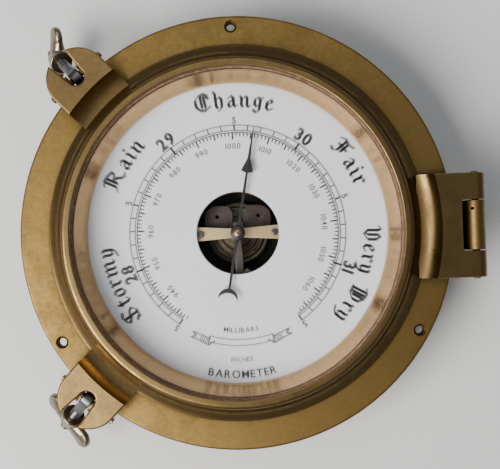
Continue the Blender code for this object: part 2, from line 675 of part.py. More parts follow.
def hand():
    blade = plate("pressure_hand", hand_outline(), HAND_Z, holes=[circle((0.0, 0.0), 1.2, 20)])
    keep(spin(blade, HAND_ANGLE), "hand_black")
    low, high = HAND_Z[0] - 1.2, HAND_Z[1] + 1.5
    hub = [(1.05, low), (2.4, low), (2.4, HAND_Z[0] - GAP), (1.05, HAND_Z[0] - GAP)]
    keep(turned("hand_collet", hub, SMALL_STEPS), "movement_brass")
    cap_low = HAND_Z[1] + GAP
    cap = [(0.0, high), (1.7, high), (2.3, high - 0.4), (3.4, cap_low + 0.5), (3.4, cap_low),
           (0.0, cap_low)]
    keep(turned("hand_hub", cap, SMALL_STEPS), "hand_black")
    arbor = [(0.0, HAND_Z[1]), (0.85, HAND_Z[1]), (0.85, CHAIN_Z + 0.6), (PULLEY_R + 0.5, CHAIN_Z + 0.6),
             (PULLEY_R + 0.5, CHAIN_Z + 0.3), (PULLEY_R, CHAIN_Z + 0.3), (PULLEY_R, CHAIN_Z - 0.3),
             (PULLEY_R + 0.5, CHAIN_Z - 0.3), (PULLEY_R + 0.5, CHAIN_Z - 0.6),
             (0.85, CHAIN_Z - 0.6), (0.85, BEARING_BAR_Z[1] + GAP), (0.5, BEARING_BAR_Z[1] + GAP),
             (0.5, BEARING_BAR_Z[0]), (0.0, BEARING_BAR_Z[0])]
    keep(turned("hand_arbor", arbor, SMALL_STEPS), "steel")


# --- movement -----------------------------------------------------------------
def movement_plate():
    low, high = MOVEMENT_PLATE_Z
    disc = [(0.0, high), (MOVEMENT_PLATE_R, high), (MOVEMENT_PLATE_R, low), (0.0, low)]
    body = turned("movement_plate", disc, 48)
    holes = []
    for angle in MOVEMENT_SCREW_ANGLES:
        x, y = polar(MOVEMENT_SCREW_R, angle)
        holes.append(rod("hole", 1.8, (x, y, low - 1.0), (x, y, high + 1.0), 16))
    for x, y in FRAME_SCREWS:
        holes.append(rod("hole", 1.2, (x, y, low - 1.0), (x, y, high + 1.0), 16))
    holes.append(rod("hole", ADJUSTER_R + 0.4, (0.0, ADJUSTER_Y, low - 1.0),
                     (0.0, ADJUSTER_Y, high + 1.0)))
    keep(combine(body, "DIFFERENCE", holes), "movement_brass")
    for number, angle in enumerate(MOVEMENT_SCREW_ANGLES, 1):
        at = polar(MOVEMENT_SCREW_R, angle)
        countersunk_screw(f"movement_screw_{number}", at, 1.5, 2.8, 0.1, 1.35, high + 0.8,
                          "movement_brass")
        sleeve = [(1.8, low - GAP), (3.6, low - GAP), (3.6, COVER_THICKNESS + GAP),
                  (1.8, COVER_THICKNESS + GAP)]
        spacer = slide(turned(f"movement_spacer_{number}", sleeve, SMALL_STEPS), (*at, 0.0))
        keep(spacer, "movement_brass", (*at, 0.0))
    for number, angle in enumerate(DIAL_PILLAR_ANGLES, 1):
        x, y = polar(MOVEMENT_SCREW_R, angle)
        pillar = rod(f"dial_pillar_{number}", 2.0, (x, y, high + GAP), (x, y, DIAL_Z[0] - GAP), 20)
        keep(pillar, "movement_brass", (x, y, 0.0))


def corrugated(base_z, sign, radii):
    return [(r, base_z + sign * CORRUGATION_DEPTH * math.cos(FULL_TURN * r / CORRUGATION_PITCH))
            for r in radii]


def vacuum_capsule():
    low, high = CAPSULE_Z
    count = 14
    reach = CAPSULE_R - 1.0
    radii = [reach * i / count for i in range(count + 1)]
    top = corrugated(high - CORRUGATION_DEPTH, 1.0, radii)
    stud_r = 3.0
    profile = top + [(CAPSULE_R, high - 1.0), (CAPSULE_R, low + 0.8), (reach, low),
                     (stud_r, low), (stud_r, MOVEMENT_PLATE_Z[1] + GAP),
                     (0.0, MOVEMENT_PLATE_Z[1] + GAP)]
    keep(turned("vacuum_capsule", profile, 32), "capsule_metal")


def spring_bracket():
    """A foot plate under the capsule with two posts that carry the leaf spring."""
    foot_low = MOVEMENT_PLATE_Z[1] + GAP
    foot_high = CAPSULE_Z[0] - GAP
    near, far, half = 9.7, 27.0, 13.8
    outline = [(-half, near), (half, near), (half, near + 4.0), (5.0, far), (-5.0, far),
               (-half, near + 4.0)]
    bracket = plate("spring_bracket", outline, (foot_low, foot_high))
    posts = [rod("post", SPRING_POST_R, (side * SPRING_POST_X, SPRING_POST_Y, foot_low + 0.2),
                 (side * SPRING_POST_X, SPRING_POST_Y, SPRING_Z[0] - GAP)) for side in (-1.0, 1.0)]
    bracket = combine(bracket, "UNION", posts)
    hole = rod("adjuster_hole", ADJUSTER_R + 0.4, (0.0, ADJUSTER_Y, foot_low - 1.0),
               (0.0, ADJUSTER_Y, foot_high + 1.0))
    keep(combine(bracket, "DIFFERENCE", [hole]), "movement_brass")


def main_spring():
    """A leaf with two rounded lobes above the arbor and a notch between them."""
    lobe_x, lobe_y, lobe_r, corner = 9.9, 7.3, 6.1, 3.0
    base_y, notch_half, notch_y = 2.35, 2.6, 5.2
    right = arc((lobe_x - 3.0, lobe_y), lobe_r, 125.0, 90.0, 4)[1:]
    right += arc((lobe_x, lobe_y), lobe_r, 90.0, 0.0, 8)
    right += arc((lobe_x + lobe_r - corner, base_y + corner), corner, 0.0, -90.0, 4)
    right = [(notch_half, notch_y), (notch_half, lobe_y + 2.6)] + right
    outline = right + [(-x, y) for x, y in reversed(right)]
    holes = [circle((side * 10.0, 8.2), 1.0, 14) for side in (-1.0, 1.0)]
    keep(plate("main_spring", outline, SPRING_Z, holes), "steel")


def main_lever():
    low, high = LEVER_Z
    tail_y = LINK_Y - 1.2
    half_tail, half_waist, half_head = 1.9, 1.2, 2.2
    right = [(half_head, LEVER_PIVOT_Y + 1.2), (half_head, 2.0), (2.6, 1.5), (2.6, -1.5),
             (half_waist, -3.2), (half_tail, -14.0), (half_tail, tail_y)]
    outline = right + [(-x, y) for x, y in reversed(right)]
    bar = plate("main_lever", outline, (low, high))
    foot = box("foot", (-1.8, LEVER_PIVOT_Y - 1.6, SPRING_Z[1] + GAP),
               (1.8, LEVER_PIVOT_Y + 0.8, low + 0.2))
    pivot = (0.0, LEVER_PIVOT_Y, (low + high) * 0.5)
    keep(combine(bar, "UNION", [foot]), "steel", pivot)
    post = rod("capsule_post", 2.0, (0.0, 0.0, CAPSULE_Z[1] + 0.7), (0.0, 0.0, low - GAP))
    keep(post, "movement_brass", pivot)
    link = rod("connecting_link", 0.5, (0.0, LINK_Y, SHAFT_Z + 0.9), (0.0, LINK_Y, low - GAP), 12)
    keep(link, "steel", pivot)


def rocking_shaft():
    shoulder = FRAME_HALF_WIDTH - CHEEK - GAP
    shaft = rod("rocking_shaft", 0.9, (-shoulder, SHAFT_Y, SHAFT_Z), (shoulder, SHAFT_Y, SHAFT_Z), 16)
    reach = FRAME_HALF_WIDTH + 0.2
    pivots = rod("pivots", 0.5, (-reach, SHAFT_Y, SHAFT_Z), (reach, SHAFT_Y, SHAFT_Z), 16)
    short_arm = box("short_arm", (-0.8, SHAFT_Y, SHAFT_Z - 0.6), (0.8, LINK_Y + 0.9, SHAFT_Z + 0.6))
    long_arm = box("long_arm", (CHAIN_X - 0.6, SHAFT_Y - 0.5, SHAFT_Z),
                   (CHAIN_X + 0.6, SHAFT_Y + 0.5, CHAIN_Z + 0.6))
    keep(combine(shaft, "UNION", [pivots, short_arm, long_arm]), "steel", (0.0, SHAFT_Y, SHAFT_Z))


def shaft_frame():
    low = MOVEMENT_PLATE_Z[1] + GAP
    base_top, top = low + CHEEK, SHAFT_Z + 2.4
    outer, inner = FRAME_HALF_WIDTH, FRAME_HALF_WIDTH - CHEEK
    outline = [(-outer, low), (outer, low), (outer, top), (inner, top), (inner, base_top),
               (-inner, base_top), (-inner, top), (-outer, top)]
    frame = upright(plate("shaft_frame", outline, (17.2, 26.8)))
    cutters = [rod("pivot_hole", 0.6, (-20.0, SHAFT_Y, SHAFT_Z), (20.0, SHAFT_Y, SHAFT_Z), 16)]
    for x, y in FRAME_SCREWS:
        cutters.append(rod("screw_hole", 1.2, (x, y, low - 1.0), (x, y, base_top + 0.8), 16))
    keep(combine(frame, "DIFFERENCE", cutters), "movement_brass")
    for number, at in enumerate(FRAME_SCREWS, 1):
        cheese_screw(f"frame_screw_{number}", at, 0.9, 1.9, base_top + GAP, 1.2,
                     MOVEMENT_PLATE_Z[0], "steel")


def bridge_outline():
    """Two wedge arms that widen outwards from a narrow waist at the arbor."""
    waist_x, waist_half, end_x, end_half = 2.6, 2.2, 20.6, 3.4
    right = [(waist_x, waist_half), (end_x - 1.0, end_half), (end_x, end_half - 1.0),
             (end_x, 1.0 - end_half), (end_x - 1.0, -end_half), (waist_x, -waist_half)]
    return right + [(-x, -y) for x, y in right]


def bridge():
    holes = [circle((0.0, 0.0), 1.0, 20)]
    holes += [circle((side * BRIDGE_PILLAR_X, 0.0), 1.1, 16) for side in (-1.0, 1.0)]
    keep(plate("pointer_bridge", bridge_outline(), BRIDGE_Z, holes), "movement_brass")
    bar_holes = [circle((0.0, 0.0), 0.6, 16)] + holes[1:]
    end, half = BRIDGE_PILLAR_X + 2.0, 2.0
    bar = [(-end, -half), (end, -half), (end, half), (-end, half)]
    keep(plate("arbor_bearing_bar", bar, BEARING_BAR_Z, bar_holes), "movement_brass")
    for number, side in enumerate((-1.0, 1.0), 1):
        at = (side * BRIDGE_PILLAR_X, 0.0)
        lower = [(0.0, MOVEMENT_PLATE_Z[1] + GAP), (2.0, MOVEMENT_PLATE_Z[1] + GAP),
                 (2.0, BEARING_BAR_Z[0] - GAP), (1.1, BEARING_BAR_Z[0] - GAP),
                 (1.1, 15.0), (0.0, 15.0)]
        pillar = slide(turned(f"bridge_pillar_{number}", lower, 20), (*at, 0.0))
        keep(pillar, "movement_brass", (*at, 0.0))
        sleeve = [(1.1, BEARING_BAR_Z[1] + GAP), (2.0, BEARING_BAR_Z[1] + GAP),
                  (2.0, BRIDGE_Z[0] - GAP), (1.1, BRIDGE_Z[0] - GAP)]
        spacer = slide(turned(f"bridge_spacer_{number}", sleeve, 20), (*at, 0.0))
        keep(spacer, "movement_brass", (*at, 0.0))
        cheese_screw(f"bridge_screw_{number}", at, 0.8, 1.6, BRIDGE_Z[1] + GAP, 0.9, 15.5, "steel")


def wire(name, points, radius, slot):
    """A thin wire through points, with closed ends."""
    curve = bpy.data.curves.new(name, "CURVE")
    curve.dimensions = "3D"
    curve.bevel_depth = radius * MM
    curve.bevel_resolution = 1
    curve.use_fill_caps = True
    spline = curve.splines.new("POLY")
    spline.points.add(len(points) - 1)
    for knot, point in zip(spline.points, points):
        knot.co = (*(Vector(point) * MM), 1.0)
    keep(plain_mesh(as_object(name, curve)), slot)


def hairspring_and_chain():
    turns, per_turn = 3.0, 14
    count = int(turns * per_turn)
    z = BRIDGE_Z[0] - 0.5
    points = []
    for i in range(count + 1):
        angle = math.radians(360.0 * i / per_turn)
        radius = 1.3 + 4.2 * i / count
        points.append((radius * math.cos(angle), radius * math.sin(angle), z))
    wire("hairspring", points, 0.12, "steel")
    chain = [(CHAIN_X, y, CHAIN_Z) for y in (SHAFT_Y + 0.9, -10.0, -0.4)]
    wire("chain", chain, 0.2, "steel")


def adjusting_screw():
    head_low, head_high = 1.0, 4.2
    profile = [(0.0, head_low), (2.2, head_low), (2.6, head_low + 0.4), (2.6, head_high),
               (ADJUSTER_R, head_high), (ADJUSTER_R, 10.0), (0.0, 10.0)]
    screw = slide(turned("adjusting_screw", profile, SMALL_STEPS), (0.0, ADJUSTER_Y, 0.0))
    slot = box("slot", (-4.0, ADJUSTER_Y - 0.4, 0.0), (4.0, ADJUSTER_Y + 0.4, head_low + 0.9))
    keep(combine(screw, "DIFFERENCE", [slot]), "movement_brass", (0.0, ADJUSTER_Y, 0.0))


def build():
    mounting_flange()
    case_drum()
    back_cover()
    inner_bezel()
    door()
    hinge_pin()
    dogs()
    dial_plate()
    hand()
    movement_plate()
    vacuum_capsule()
    spring_bracket()
    main_spring()
    main_lever()
    rocking_shaft()
    shaft_frame()
    bridge()
    hairspring_and_chain()
    adjusting_screw()


build()
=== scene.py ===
"""Looks of the aneroid barometer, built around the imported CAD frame.

Lengths are millimetres in the CAD's frame and become metres through MM. The
object lies on its back: +Z out of the dial, +Y to twelve o'clock, +X to the hinge.
"""
import json
import math

import bmesh
import bpy
from mathutils import Matrix, Vector

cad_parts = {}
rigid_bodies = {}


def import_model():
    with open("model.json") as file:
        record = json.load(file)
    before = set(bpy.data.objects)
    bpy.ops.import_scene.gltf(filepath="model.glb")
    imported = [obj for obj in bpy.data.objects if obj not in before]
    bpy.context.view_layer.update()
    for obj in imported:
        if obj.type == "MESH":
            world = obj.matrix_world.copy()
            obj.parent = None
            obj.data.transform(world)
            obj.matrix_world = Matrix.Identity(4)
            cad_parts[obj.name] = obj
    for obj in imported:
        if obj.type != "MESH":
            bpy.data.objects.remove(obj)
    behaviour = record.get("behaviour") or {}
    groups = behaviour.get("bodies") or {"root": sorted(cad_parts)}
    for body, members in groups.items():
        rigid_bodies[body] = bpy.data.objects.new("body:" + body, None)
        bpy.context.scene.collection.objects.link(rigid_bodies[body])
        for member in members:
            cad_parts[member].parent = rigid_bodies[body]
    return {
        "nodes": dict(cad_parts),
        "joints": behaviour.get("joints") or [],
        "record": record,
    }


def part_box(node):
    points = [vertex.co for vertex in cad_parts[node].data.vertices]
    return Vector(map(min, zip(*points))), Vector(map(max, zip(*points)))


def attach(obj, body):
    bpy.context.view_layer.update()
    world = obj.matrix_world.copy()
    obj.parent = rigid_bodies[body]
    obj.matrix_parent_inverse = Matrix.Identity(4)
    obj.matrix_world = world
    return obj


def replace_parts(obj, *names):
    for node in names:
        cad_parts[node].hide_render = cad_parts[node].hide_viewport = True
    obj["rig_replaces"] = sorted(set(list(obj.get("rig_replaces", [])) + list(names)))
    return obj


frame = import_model()
NODES = frame["nodes"]
JOINTS = {joint["name"]: joint for joint in frame["joints"]}
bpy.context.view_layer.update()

MM = 0.001
GAP = 0.3
RING = 192


def low(node):
    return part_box(node)[0] / MM


def high(node):
    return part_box(node)[1] / MM


# --- dimensions read from the frame -------------------------------------------
FLANGE_FACE = low("door_ring").z - GAP
FLANGE_BACK = low("mounting_flange").z
FLANGE_R = -low("mounting_flange").y
DOOR_FOOT = low("door_ring").z
DOOR_TOP = high("door_ring").z
PLATE_TOP = high("clamp_ear_upper").z
DIAL_TOP = high("dial_plate").z
DIAL_R = high("dial_plate").x
GLASS_LOW, GLASS_HIGH = low("door_glass").z, high("door_glass").z
GLASS_R = high("door_glass").y
BEZEL_TOP = high("inner_bezel").z
HUB_TOP = high("hand_hub").z
CAPSULE_LOW, CAPSULE_HIGH = low("vacuum_capsule").z, high("vacuum_capsule").z
CAPSULE_R = high("vacuum_capsule").x
HINGE_X, _, HINGE_Z = (c / MM for c in JOINTS["door_hinge"]["pos_m"])
HINGE_HALF = high("hinge_pin").y - 0.7
EAR_ANGLES = {"upper": 134.0, "lower": 226.0}
NUT_SPINS = {"upper": -48.0, "lower": 14.0}
DOG_PIVOT = Vector(JOINTS["swing_bolt_upper_pivot"]["pos_m"]) / MM
DOG_R, DOG_Z = DOG_PIVOT.xy.length, DOG_PIVOT.z
DOG_DROOP = -math.degrees(math.asin(JOINTS["wing_nut_upper_spin"]["axis"][2]))
EYE_R, EYE_HALF = 4.0, 2.6
BOLT_R, BOLT_LENGTH, PIN_HALF = 2.5, 30.0, 15.6
NUT_START, NUT_HEIGHT = 18.5, 8.0


# --- node materials -------------------------------------------------------------
class Shader:
    """A small builder around one Principled material."""

    def __init__(self, name, colour, roughness, metallic):
        self.material = bpy.data.materials.new(name)
        self.material.use_nodes = True
        self.tree = self.material.node_tree
        self.shader = self.tree.nodes["Principled BSDF"]
        self.set("Base Color", (*colour, 1.0))
        self.set("Roughness", roughness)
        self.set("Metallic", metallic)
        self.coordinates = self.tree.nodes.new("ShaderNodeTexCoord").outputs["Object"]

    def set(self, socket, value):
        self.shader.inputs[socket].default_value = value

    def node(self, kind, **settings):
        made = self.tree.nodes.new(kind)
        for key, value in settings.items():
            setattr(made, key, value)
        return made

    def plug(self, socket, value):
        """Link an output into an input socket, or set the socket to a constant."""
        if isinstance(value, bpy.types.NodeSocket):
            self.tree.links.new(value, socket)
        else:
            socket.default_value = value

    def feed(self, node, **links):
        """Link or set inputs by name, with spaces written as underscores."""
        for key, value in links.items():
            self.plug(node.inputs[key.replace("_", " ")], value)
        return node

    def noise(self, scale, detail=4.0, roughness=0.55, vector=None, distortion=0.0):
        made = self.node("ShaderNodeTexNoise")
        self.feed(made, Vector=vector or self.coordinates, Scale=scale, Detail=detail,
                  Roughness=roughness, Distortion=distortion)
        return made.outputs["Fac"]

    def ramp(self, value, start, end, low_value=0.0, high_value=1.0):
        made = self.node("ShaderNodeMapRange", clamp=True)
        self.feed(made, Value=value, From_Min=start, From_Max=end, To_Min=low_value,
                  To_Max=high_value)
        return made.outputs["Result"]

    def math(self, operation, a, b=0.0):
        made = self.node("ShaderNodeMath", operation=operation)
        for socket, value in zip(made.inputs, (a, b)):
            self.plug(socket, value)
        return made.outputs["Value"]

    def mix(self, factor, a, b):
        """Blend two colours, each a tuple or a link."""
        made = self.node("ShaderNodeMix", data_type="RGBA")
        colours = [s for s in made.inputs if s.type == "RGBA"]
        for socket, value in zip((made.inputs["Factor"], *colours), (factor, a, b)):
            self.plug(socket, (*value, 1.0) if isinstance(value, tuple) else value)
        return [s for s in made.outputs if s.type == "RGBA"][0]

    def cavity(self, distance, inside=False):
        """1 in the open and 0 in corners; inside=True gives 0 near convex edges."""
        made = self.node("ShaderNodeAmbientOcclusion", samples=8, inside=inside)
        self.feed(made, Distance=distance * MM)
        return made.outputs["AO"]

    def polar(self, across=1.0, along=0.02, height=1.0):
        """Coordinates stretched along circles about Z, for turning marks."""
        split = self.feed(self.node("ShaderNodeSeparateXYZ"), Vector=self.coordinates)
        x, y, z = split.outputs["X"], split.outputs["Y"], split.outputs["Z"]
        radius = self.math("SQRT", self.math("ADD", self.math("MULTIPLY", x, x),
                                             self.math("MULTIPLY", y, y)))
        angle = self.math("ARCTAN2", y, x)
        joined = self.feed(self.node("ShaderNodeCombineXYZ"),
                           X=self.math("MULTIPLY", radius, across),
                           Y=self.math("MULTIPLY", angle, along),
                           Z=self.math("MULTIPLY", z, height))
        return joined.outputs["Vector"]

    def stretched(self, scale, turn=0.0):
        made = self.node("ShaderNodeMapping")
        self.feed(made, Vector=self.coordinates, Rotation=(0.0, 0.0, math.radians(turn)),
                  Scale=scale)
        return made.outputs["Vector"]

    def bump(self, value, strength, distance):
        made = self.feed(self.node("ShaderNodeBump"), Strength=strength,
                         Distance=distance * MM, Height=value)
        self.feed(self.shader, Normal=made.outputs["Normal"])

    def colour(self, value):
        self.feed(self.shader, Base_Color=value)

    def roughness(self, value):
        self.feed(self.shader, Roughness=value)


# The dark colour serves the stains and turning marks, and also the painted shade in corners; its strength
# there is a separate argument.
def aged_metal(name, clean, tarnish, stain_and_shade, rough=(0.3, 0.5), blotch=55.0, turned_marks=0.25,
               wear=0.35, corner_shade=0.75, bump=0.25, stains=0.5):
    """Metal with tarnish in blotches, painted shade in corners, worn edges and fine marks."""
    s = Shader(name, clean, rough[0], 1.0)
    patches = s.ramp(s.noise(blotch, 7.0, 0.62, distortion=0.4), 0.36, 0.66)
    mottles = s.ramp(s.noise(blotch * 9.0, 5.0, 0.65), 0.35, 0.7)
    marks = s.noise(1.0, 3.0, 0.6, vector=s.polar(2600.0, 9.0, 2600.0))
    scuffs = s.ramp(s.noise(1.0, 2.0, 0.5, vector=s.stretched((60.0, 2400.0, 900.0), 23.0)),
                    0.62, 0.72)
    tone = s.mix(patches, clean, tarnish)
    tone = s.mix(s.math("MULTIPLY", mottles, stains), tone, stain_and_shade)
    tone = s.mix(s.math("MULTIPLY", marks, turned_marks), tone, stain_and_shade)
    # Painted shade: the colour darkens toward the dark stain colour in corners and hollows, found by
    # ambient occlusion, and the finish gets rougher there.
    corner_shade_mask = s.math("MULTIPLY", s.ramp(s.cavity(5.0), 0.35, 0.95, 1.0, 0.0), corner_shade)
    tone = s.mix(corner_shade_mask, tone, stain_and_shade)
    edges = s.math("MULTIPLY", s.ramp(s.cavity(0.9, inside=True), 0.35, 0.8, 1.0, 0.0), wear)
    tone = s.mix(edges, tone, tuple(min(1.0, c * 1.35) for c in clean))
    s.colour(s.mix(s.math("MULTIPLY", scuffs, 0.18), tone, tuple(min(1.0, c * 1.4) for c in clean)))
    level = s.math("ADD", s.ramp(patches, 0.0, 1.0, rough[0], rough[1]),
                   s.math("MULTIPLY", mottles, 0.08))
    s.roughness(s.math("ADD", level, s.math("MULTIPLY", corner_shade_mask, 0.15)))
    s.bump(s.math("ADD", marks, s.math("MULTIPLY", mottles, 0.6)), bump, 0.05)
    return s.material


def dial_finish():
    s = Shader("silvered_dial", (0.90, 0.925, 0.975), 0.5, 0.0)
    clouds = s.ramp(s.noise(16.0, 4.0, 0.5), 0.35, 0.7)
    grain = s.noise(1.0, 2.0, 0.5, vector=s.stretched((300.0, 9000.0, 300.0)))
    tone = s.mix(clouds, (0.88, 0.905, 0.955), (0.92, 0.945, 0.995))
    specks = s.ramp(s.noise(520.0, 2.0, 0.5), 0.74, 0.82)
    tone = s.mix(s.math("MULTIPLY", specks, 0.35), tone, (0.45, 0.42, 0.38))
    s.colour(s.mix(s.math("MULTIPLY", grain, 0.06), tone, (0.5, 0.51, 0.54)))
    s.roughness(s.ramp(grain, 0.3, 0.7, 0.42, 0.56))
    s.bump(grain, 0.08, 0.02)
    s.set("Coat Weight", 0.15)
    return s.material


def ink_finish(name, colour):
    s = Shader(name, colour, 0.45, 0.0)
    fade = s.ramp(s.noise(260.0, 4.0, 0.6), 0.3, 0.75)
    s.colour(s.mix(fade, colour, tuple(c * 1.6 + 0.01 for c in colour)))
    s.roughness(s.ramp(fade, 0.0, 1.0, 0.38, 0.55))
    return s.material


def enamel_finish():
    s = Shader("hand_enamel", (0.012, 0.012, 0.015), 0.3, 0.0)
    dust = s.ramp(s.noise(700.0, 4.0, 0.6), 0.5, 0.8)
    s.colour(s.mix(s.math("MULTIPLY", dust, 0.3), (0.010, 0.010, 0.013), (0.06, 0.055, 0.05)))
    s.roughness(s.ramp(dust, 0.0, 1.0, 0.42, 0.6))
    return s.material


def gasket_finish():
    s = Shader("gasket_rubber", (0.20, 0.075, 0.04), 0.6, 0.0)
    crumbs = s.ramp(s.noise(480.0, 6.0, 0.7), 0.42, 0.66)
    bands = s.ramp(s.noise(45.0, 3.0, 0.5), 0.35, 0.7)
    tone = s.mix(bands, (0.26, 0.10, 0.055), (0.12, 0.05, 0.03))
    s.colour(s.mix(crumbs, tone, (0.34, 0.22, 0.13)))
    s.roughness(s.ramp(crumbs, 0.0, 1.0, 0.5, 0.8))
    s.bump(crumbs, 0.5, 0.12)
    return s.material


def glass_finish():
    s = Shader("door_glass", (1.0, 1.0, 1.0), 0.02, 0.0)
    smears = s.ramp(s.noise(38.0, 5.0, 0.6, distortion=1.2), 0.55, 0.8)
    s.roughness(s.ramp(smears, 0.0, 1.0, 0.01, 0.05))
    s.set("Transmission Weight", 1.0)
    s.set("IOR", 1.45)
    s.set("Alpha", 0.15)
    return s.material


CASE = aged_metal("case_brass", (0.290, 0.187, 0.058), (0.220, 0.139, 0.042), (0.062, 0.040, 0.017),
                  rough=(0.36, 0.48), stains=0.32, corner_shade=0.85)
DOOR = aged_metal("door_brass", (0.290, 0.193, 0.076), (0.200, 0.129, 0.052), (0.058, 0.037, 0.018),
                  rough=(0.24, 0.40), stains=0.36, corner_shade=0.9)
BEZEL = aged_metal("bezel_brass", (0.62, 0.405, 0.195), (0.55, 0.350, 0.160), (0.22, 0.12, 0.05),
                   rough=(0.21, 0.25), blotch=24.0, stains=0.06, wear=0.1, turned_marks=0.12,
                   corner_shade=0.6, bump=0.12)
MOVEMENT = aged_metal("movement_brass", (0.86, 0.68, 0.38), (0.74, 0.56, 0.29), (0.30, 0.20, 0.1),
                      rough=(0.30, 0.40), stains=0.2, turned_marks=0.1, wear=0.2, corner_shade=0.5)
BRONZE = aged_metal("nut_bronze", (0.40, 0.335, 0.25), (0.27, 0.215, 0.15), (0.07, 0.052, 0.035),
                    rough=(0.22, 0.36), blotch=90.0, turned_marks=0.0, stains=0.45, wear=0.8)
STEEL = aged_metal("blued_steel", (0.22, 0.22, 0.225), (0.14, 0.135, 0.13), (0.05, 0.04, 0.03),
                   rough=(0.26, 0.40), blotch=120.0, turned_marks=0.1, stains=0.4)
BRIGHT = aged_metal("bright_steel", (0.66, 0.66, 0.66), (0.55, 0.54, 0.53), (0.2, 0.18, 0.16),
                    rough=(0.18, 0.3), blotch=120.0, turned_marks=0.1, stains=0.2)
SPRING = aged_metal("spring_steel", (0.140, 0.112, 0.100), (0.100, 0.078, 0.068), (0.03, 0.022, 0.018),
                    rough=(0.38, 0.52), blotch=140.0, turned_marks=0.0, stains=0.5)
LEVER = aged_metal("lever_steel", (0.26, 0.22, 0.19), (0.17, 0.14, 0.12), (0.06, 0.045, 0.04),
                   rough=(0.30, 0.44), blotch=160.0, turned_marks=0.0, stains=0.5)
SHADED = aged_metal("shaded_brass", (0.035, 0.029, 0.022), (0.022, 0.018, 0.014), (0.012, 0.009, 0.007),
                    rough=(0.5, 0.62), blotch=90.0, turned_marks=0.1, stains=0.4, wear=0.1)
CAPSULE = aged_metal("capsule_metal", (0.26, 0.22, 0.15), (0.17, 0.14, 0.095), (0.03, 0.023, 0.015),
                     rough=(0.22, 0.34), blotch=150.0, turned_marks=0.15, stains=0.35)
COPPER = aged_metal("copper_cap", (0.40, 0.23, 0.18), (0.30, 0.165, 0.125), (0.10, 0.05, 0.035),
                    rough=(0.28, 0.4), blotch=300.0, turned_marks=0.1, stains=0.3)
DIAL = dial_finish()
INK = ink_finish("ink_black", (0.012, 0.012, 0.014))
PALE_INK = ink_finish("ink_grey", (0.035, 0.035, 0.042))
ENAMEL = enamel_finish()
GASKET = gasket_finish()
GLASS = glass_finish()


# --- modelling helpers ------------------------------------------------------------
def link(name, mesh):
    made = bpy.data.objects.new(name, mesh)
    bpy.context.scene.collection.objects.link(made)
    return made


def from_lists(name, verts, faces):
    mesh = bpy.data.meshes.new(name)
    mesh.from_pydata([tuple(c * MM for c in v) for v in verts], [], faces)
    mesh.validate()
    return link(name, mesh)


def evaluated(shape):
    """Replace a shape with modifiers, or a curve, by its welded plain mesh."""
    bpy.context.view_layer.update()
    result = shape.evaluated_get(bpy.context.evaluated_depsgraph_get())
    mesh = bpy.data.meshes.new_from_object(result)
    welder = bmesh.new()
    welder.from_mesh(mesh)
    bmesh.ops.remove_doubles(welder, verts=welder.verts, dist=0.002 * MM)
    bmesh.ops.dissolve_degenerate(welder, edges=welder.edges, dist=0.002 * MM)
    bmesh.ops.recalc_face_normals(welder, faces=welder.faces)
    welder.to_mesh(mesh)
    welder.free()
    name, matrix = shape.name, shape.matrix_world.copy()
    bpy.data.objects.remove(shape, do_unlink=True)
    made = link(name, mesh)
    made.matrix_world = matrix
    return made


def arc(centre, radius, start, end, count):
    angles = [math.radians(start + (end - start) * i / count) for i in range(count + 1)]
    return [(centre[0] + radius * math.cos(a), centre[1] + radius * math.sin(a)) for a in angles]


def turned(name, profile, steps=RING):
    """A solid of revolution about Z from (radius, height) points, closed or from axis to axis."""
    area = sum(a[0] * b[1] - b[0] * a[1] for a, b in zip(profile, profile[1:] + profile[:1]))
    points = profile if area > 0 else profile[::-1]
    verts, rows = [], []
    for r, z in points:
        if r < 1e-9:
            rows.append([len(verts)] * steps)
            verts.append((0.0, 0.0, z))
            continue
        rows.append(list(range(len(verts), len(verts) + steps)))
        verts += [(r * math.cos(math.tau * i / steps), r * math.sin(math.tau * i / steps), z)
                  for i in range(steps)]
    faces = []
    for a, b in zip(rows, rows[1:] + rows[:1]):
        for i in range(steps):
            j = (i + 1) % steps
            corner = [a[i], a[j], b[j], b[i]]
            face = [v for n, v in enumerate(corner) if v not in corner[:n]]
            if len(face) > 2:
                faces.append(face)
    return from_lists(name, verts, faces)


def plate(name, outline, z_low, z_high, bevel=0.0, rounds=3):
    """A flat plate from an outline in XY, with rounded edges."""
    curve = bpy.data.curves.new(name, "CURVE")
    curve.dimensions = "2D"
    curve.fill_mode = "BOTH"
    spline = curve.splines.new("POLY")
    spline.points.add(len(outline) - 1)
    for knot, (x, y) in zip(spline.points, outline):
        knot.co = (x * MM, y * MM, 0.0, 1.0)
    spline.use_cyclic_u = True
    curve.extrude = ((z_high - z_low) * 0.5 - bevel) * MM
    curve.bevel_depth = bevel * MM
    curve.bevel_resolution = rounds
    curve.offset = -bevel * MM
    made = evaluated(link(name, curve))
    return move(made, Matrix.Translation((0.0, 0.0, (z_low + z_high) * 0.5 * MM)))


def rod(name, radius, start, end, steps=48, bevel=0.0):
    """A cylinder between two points, with chamfered rims if asked."""
    start, end = Vector(start), Vector(end)
    length = (end - start).length
    profile = [(0.0, 0.0), (radius - bevel, 0.0), (radius, bevel), (radius, length - bevel),
               (radius - bevel, length), (0.0, length)]
    if not bevel:
        profile = [(0.0, 0.0), (radius, 0.0), (radius, length), (0.0, length)]
    made = turned(name, profile, steps)
    turn = Vector((0.0, 0.0, 1.0)).rotation_difference(end - start).to_matrix().to_4x4()
    return move(made, Matrix.Translation(start * MM) @ turn)


def block(name, corner_low, corner_high):
    (a, b, c), (d, e, f) = corner_low, corner_high
    verts = [(x, y, z) for z in (c, f) for x, y in ((a, b), (d, b), (d, e), (a, e))]
    faces = [(3, 2, 1, 0), (4, 5, 6, 7), (0, 1, 5, 4), (1, 2, 6, 5), (2, 3, 7, 6), (3, 0, 4, 7)]
    return from_lists(name, verts, faces)


def move(shape, matrix):
    shape.data.transform(matrix)
    return shape


def spin(shape, degrees, axis="Z"):
    return move(shape, Matrix.Rotation(math.radians(degrees), 4, axis))


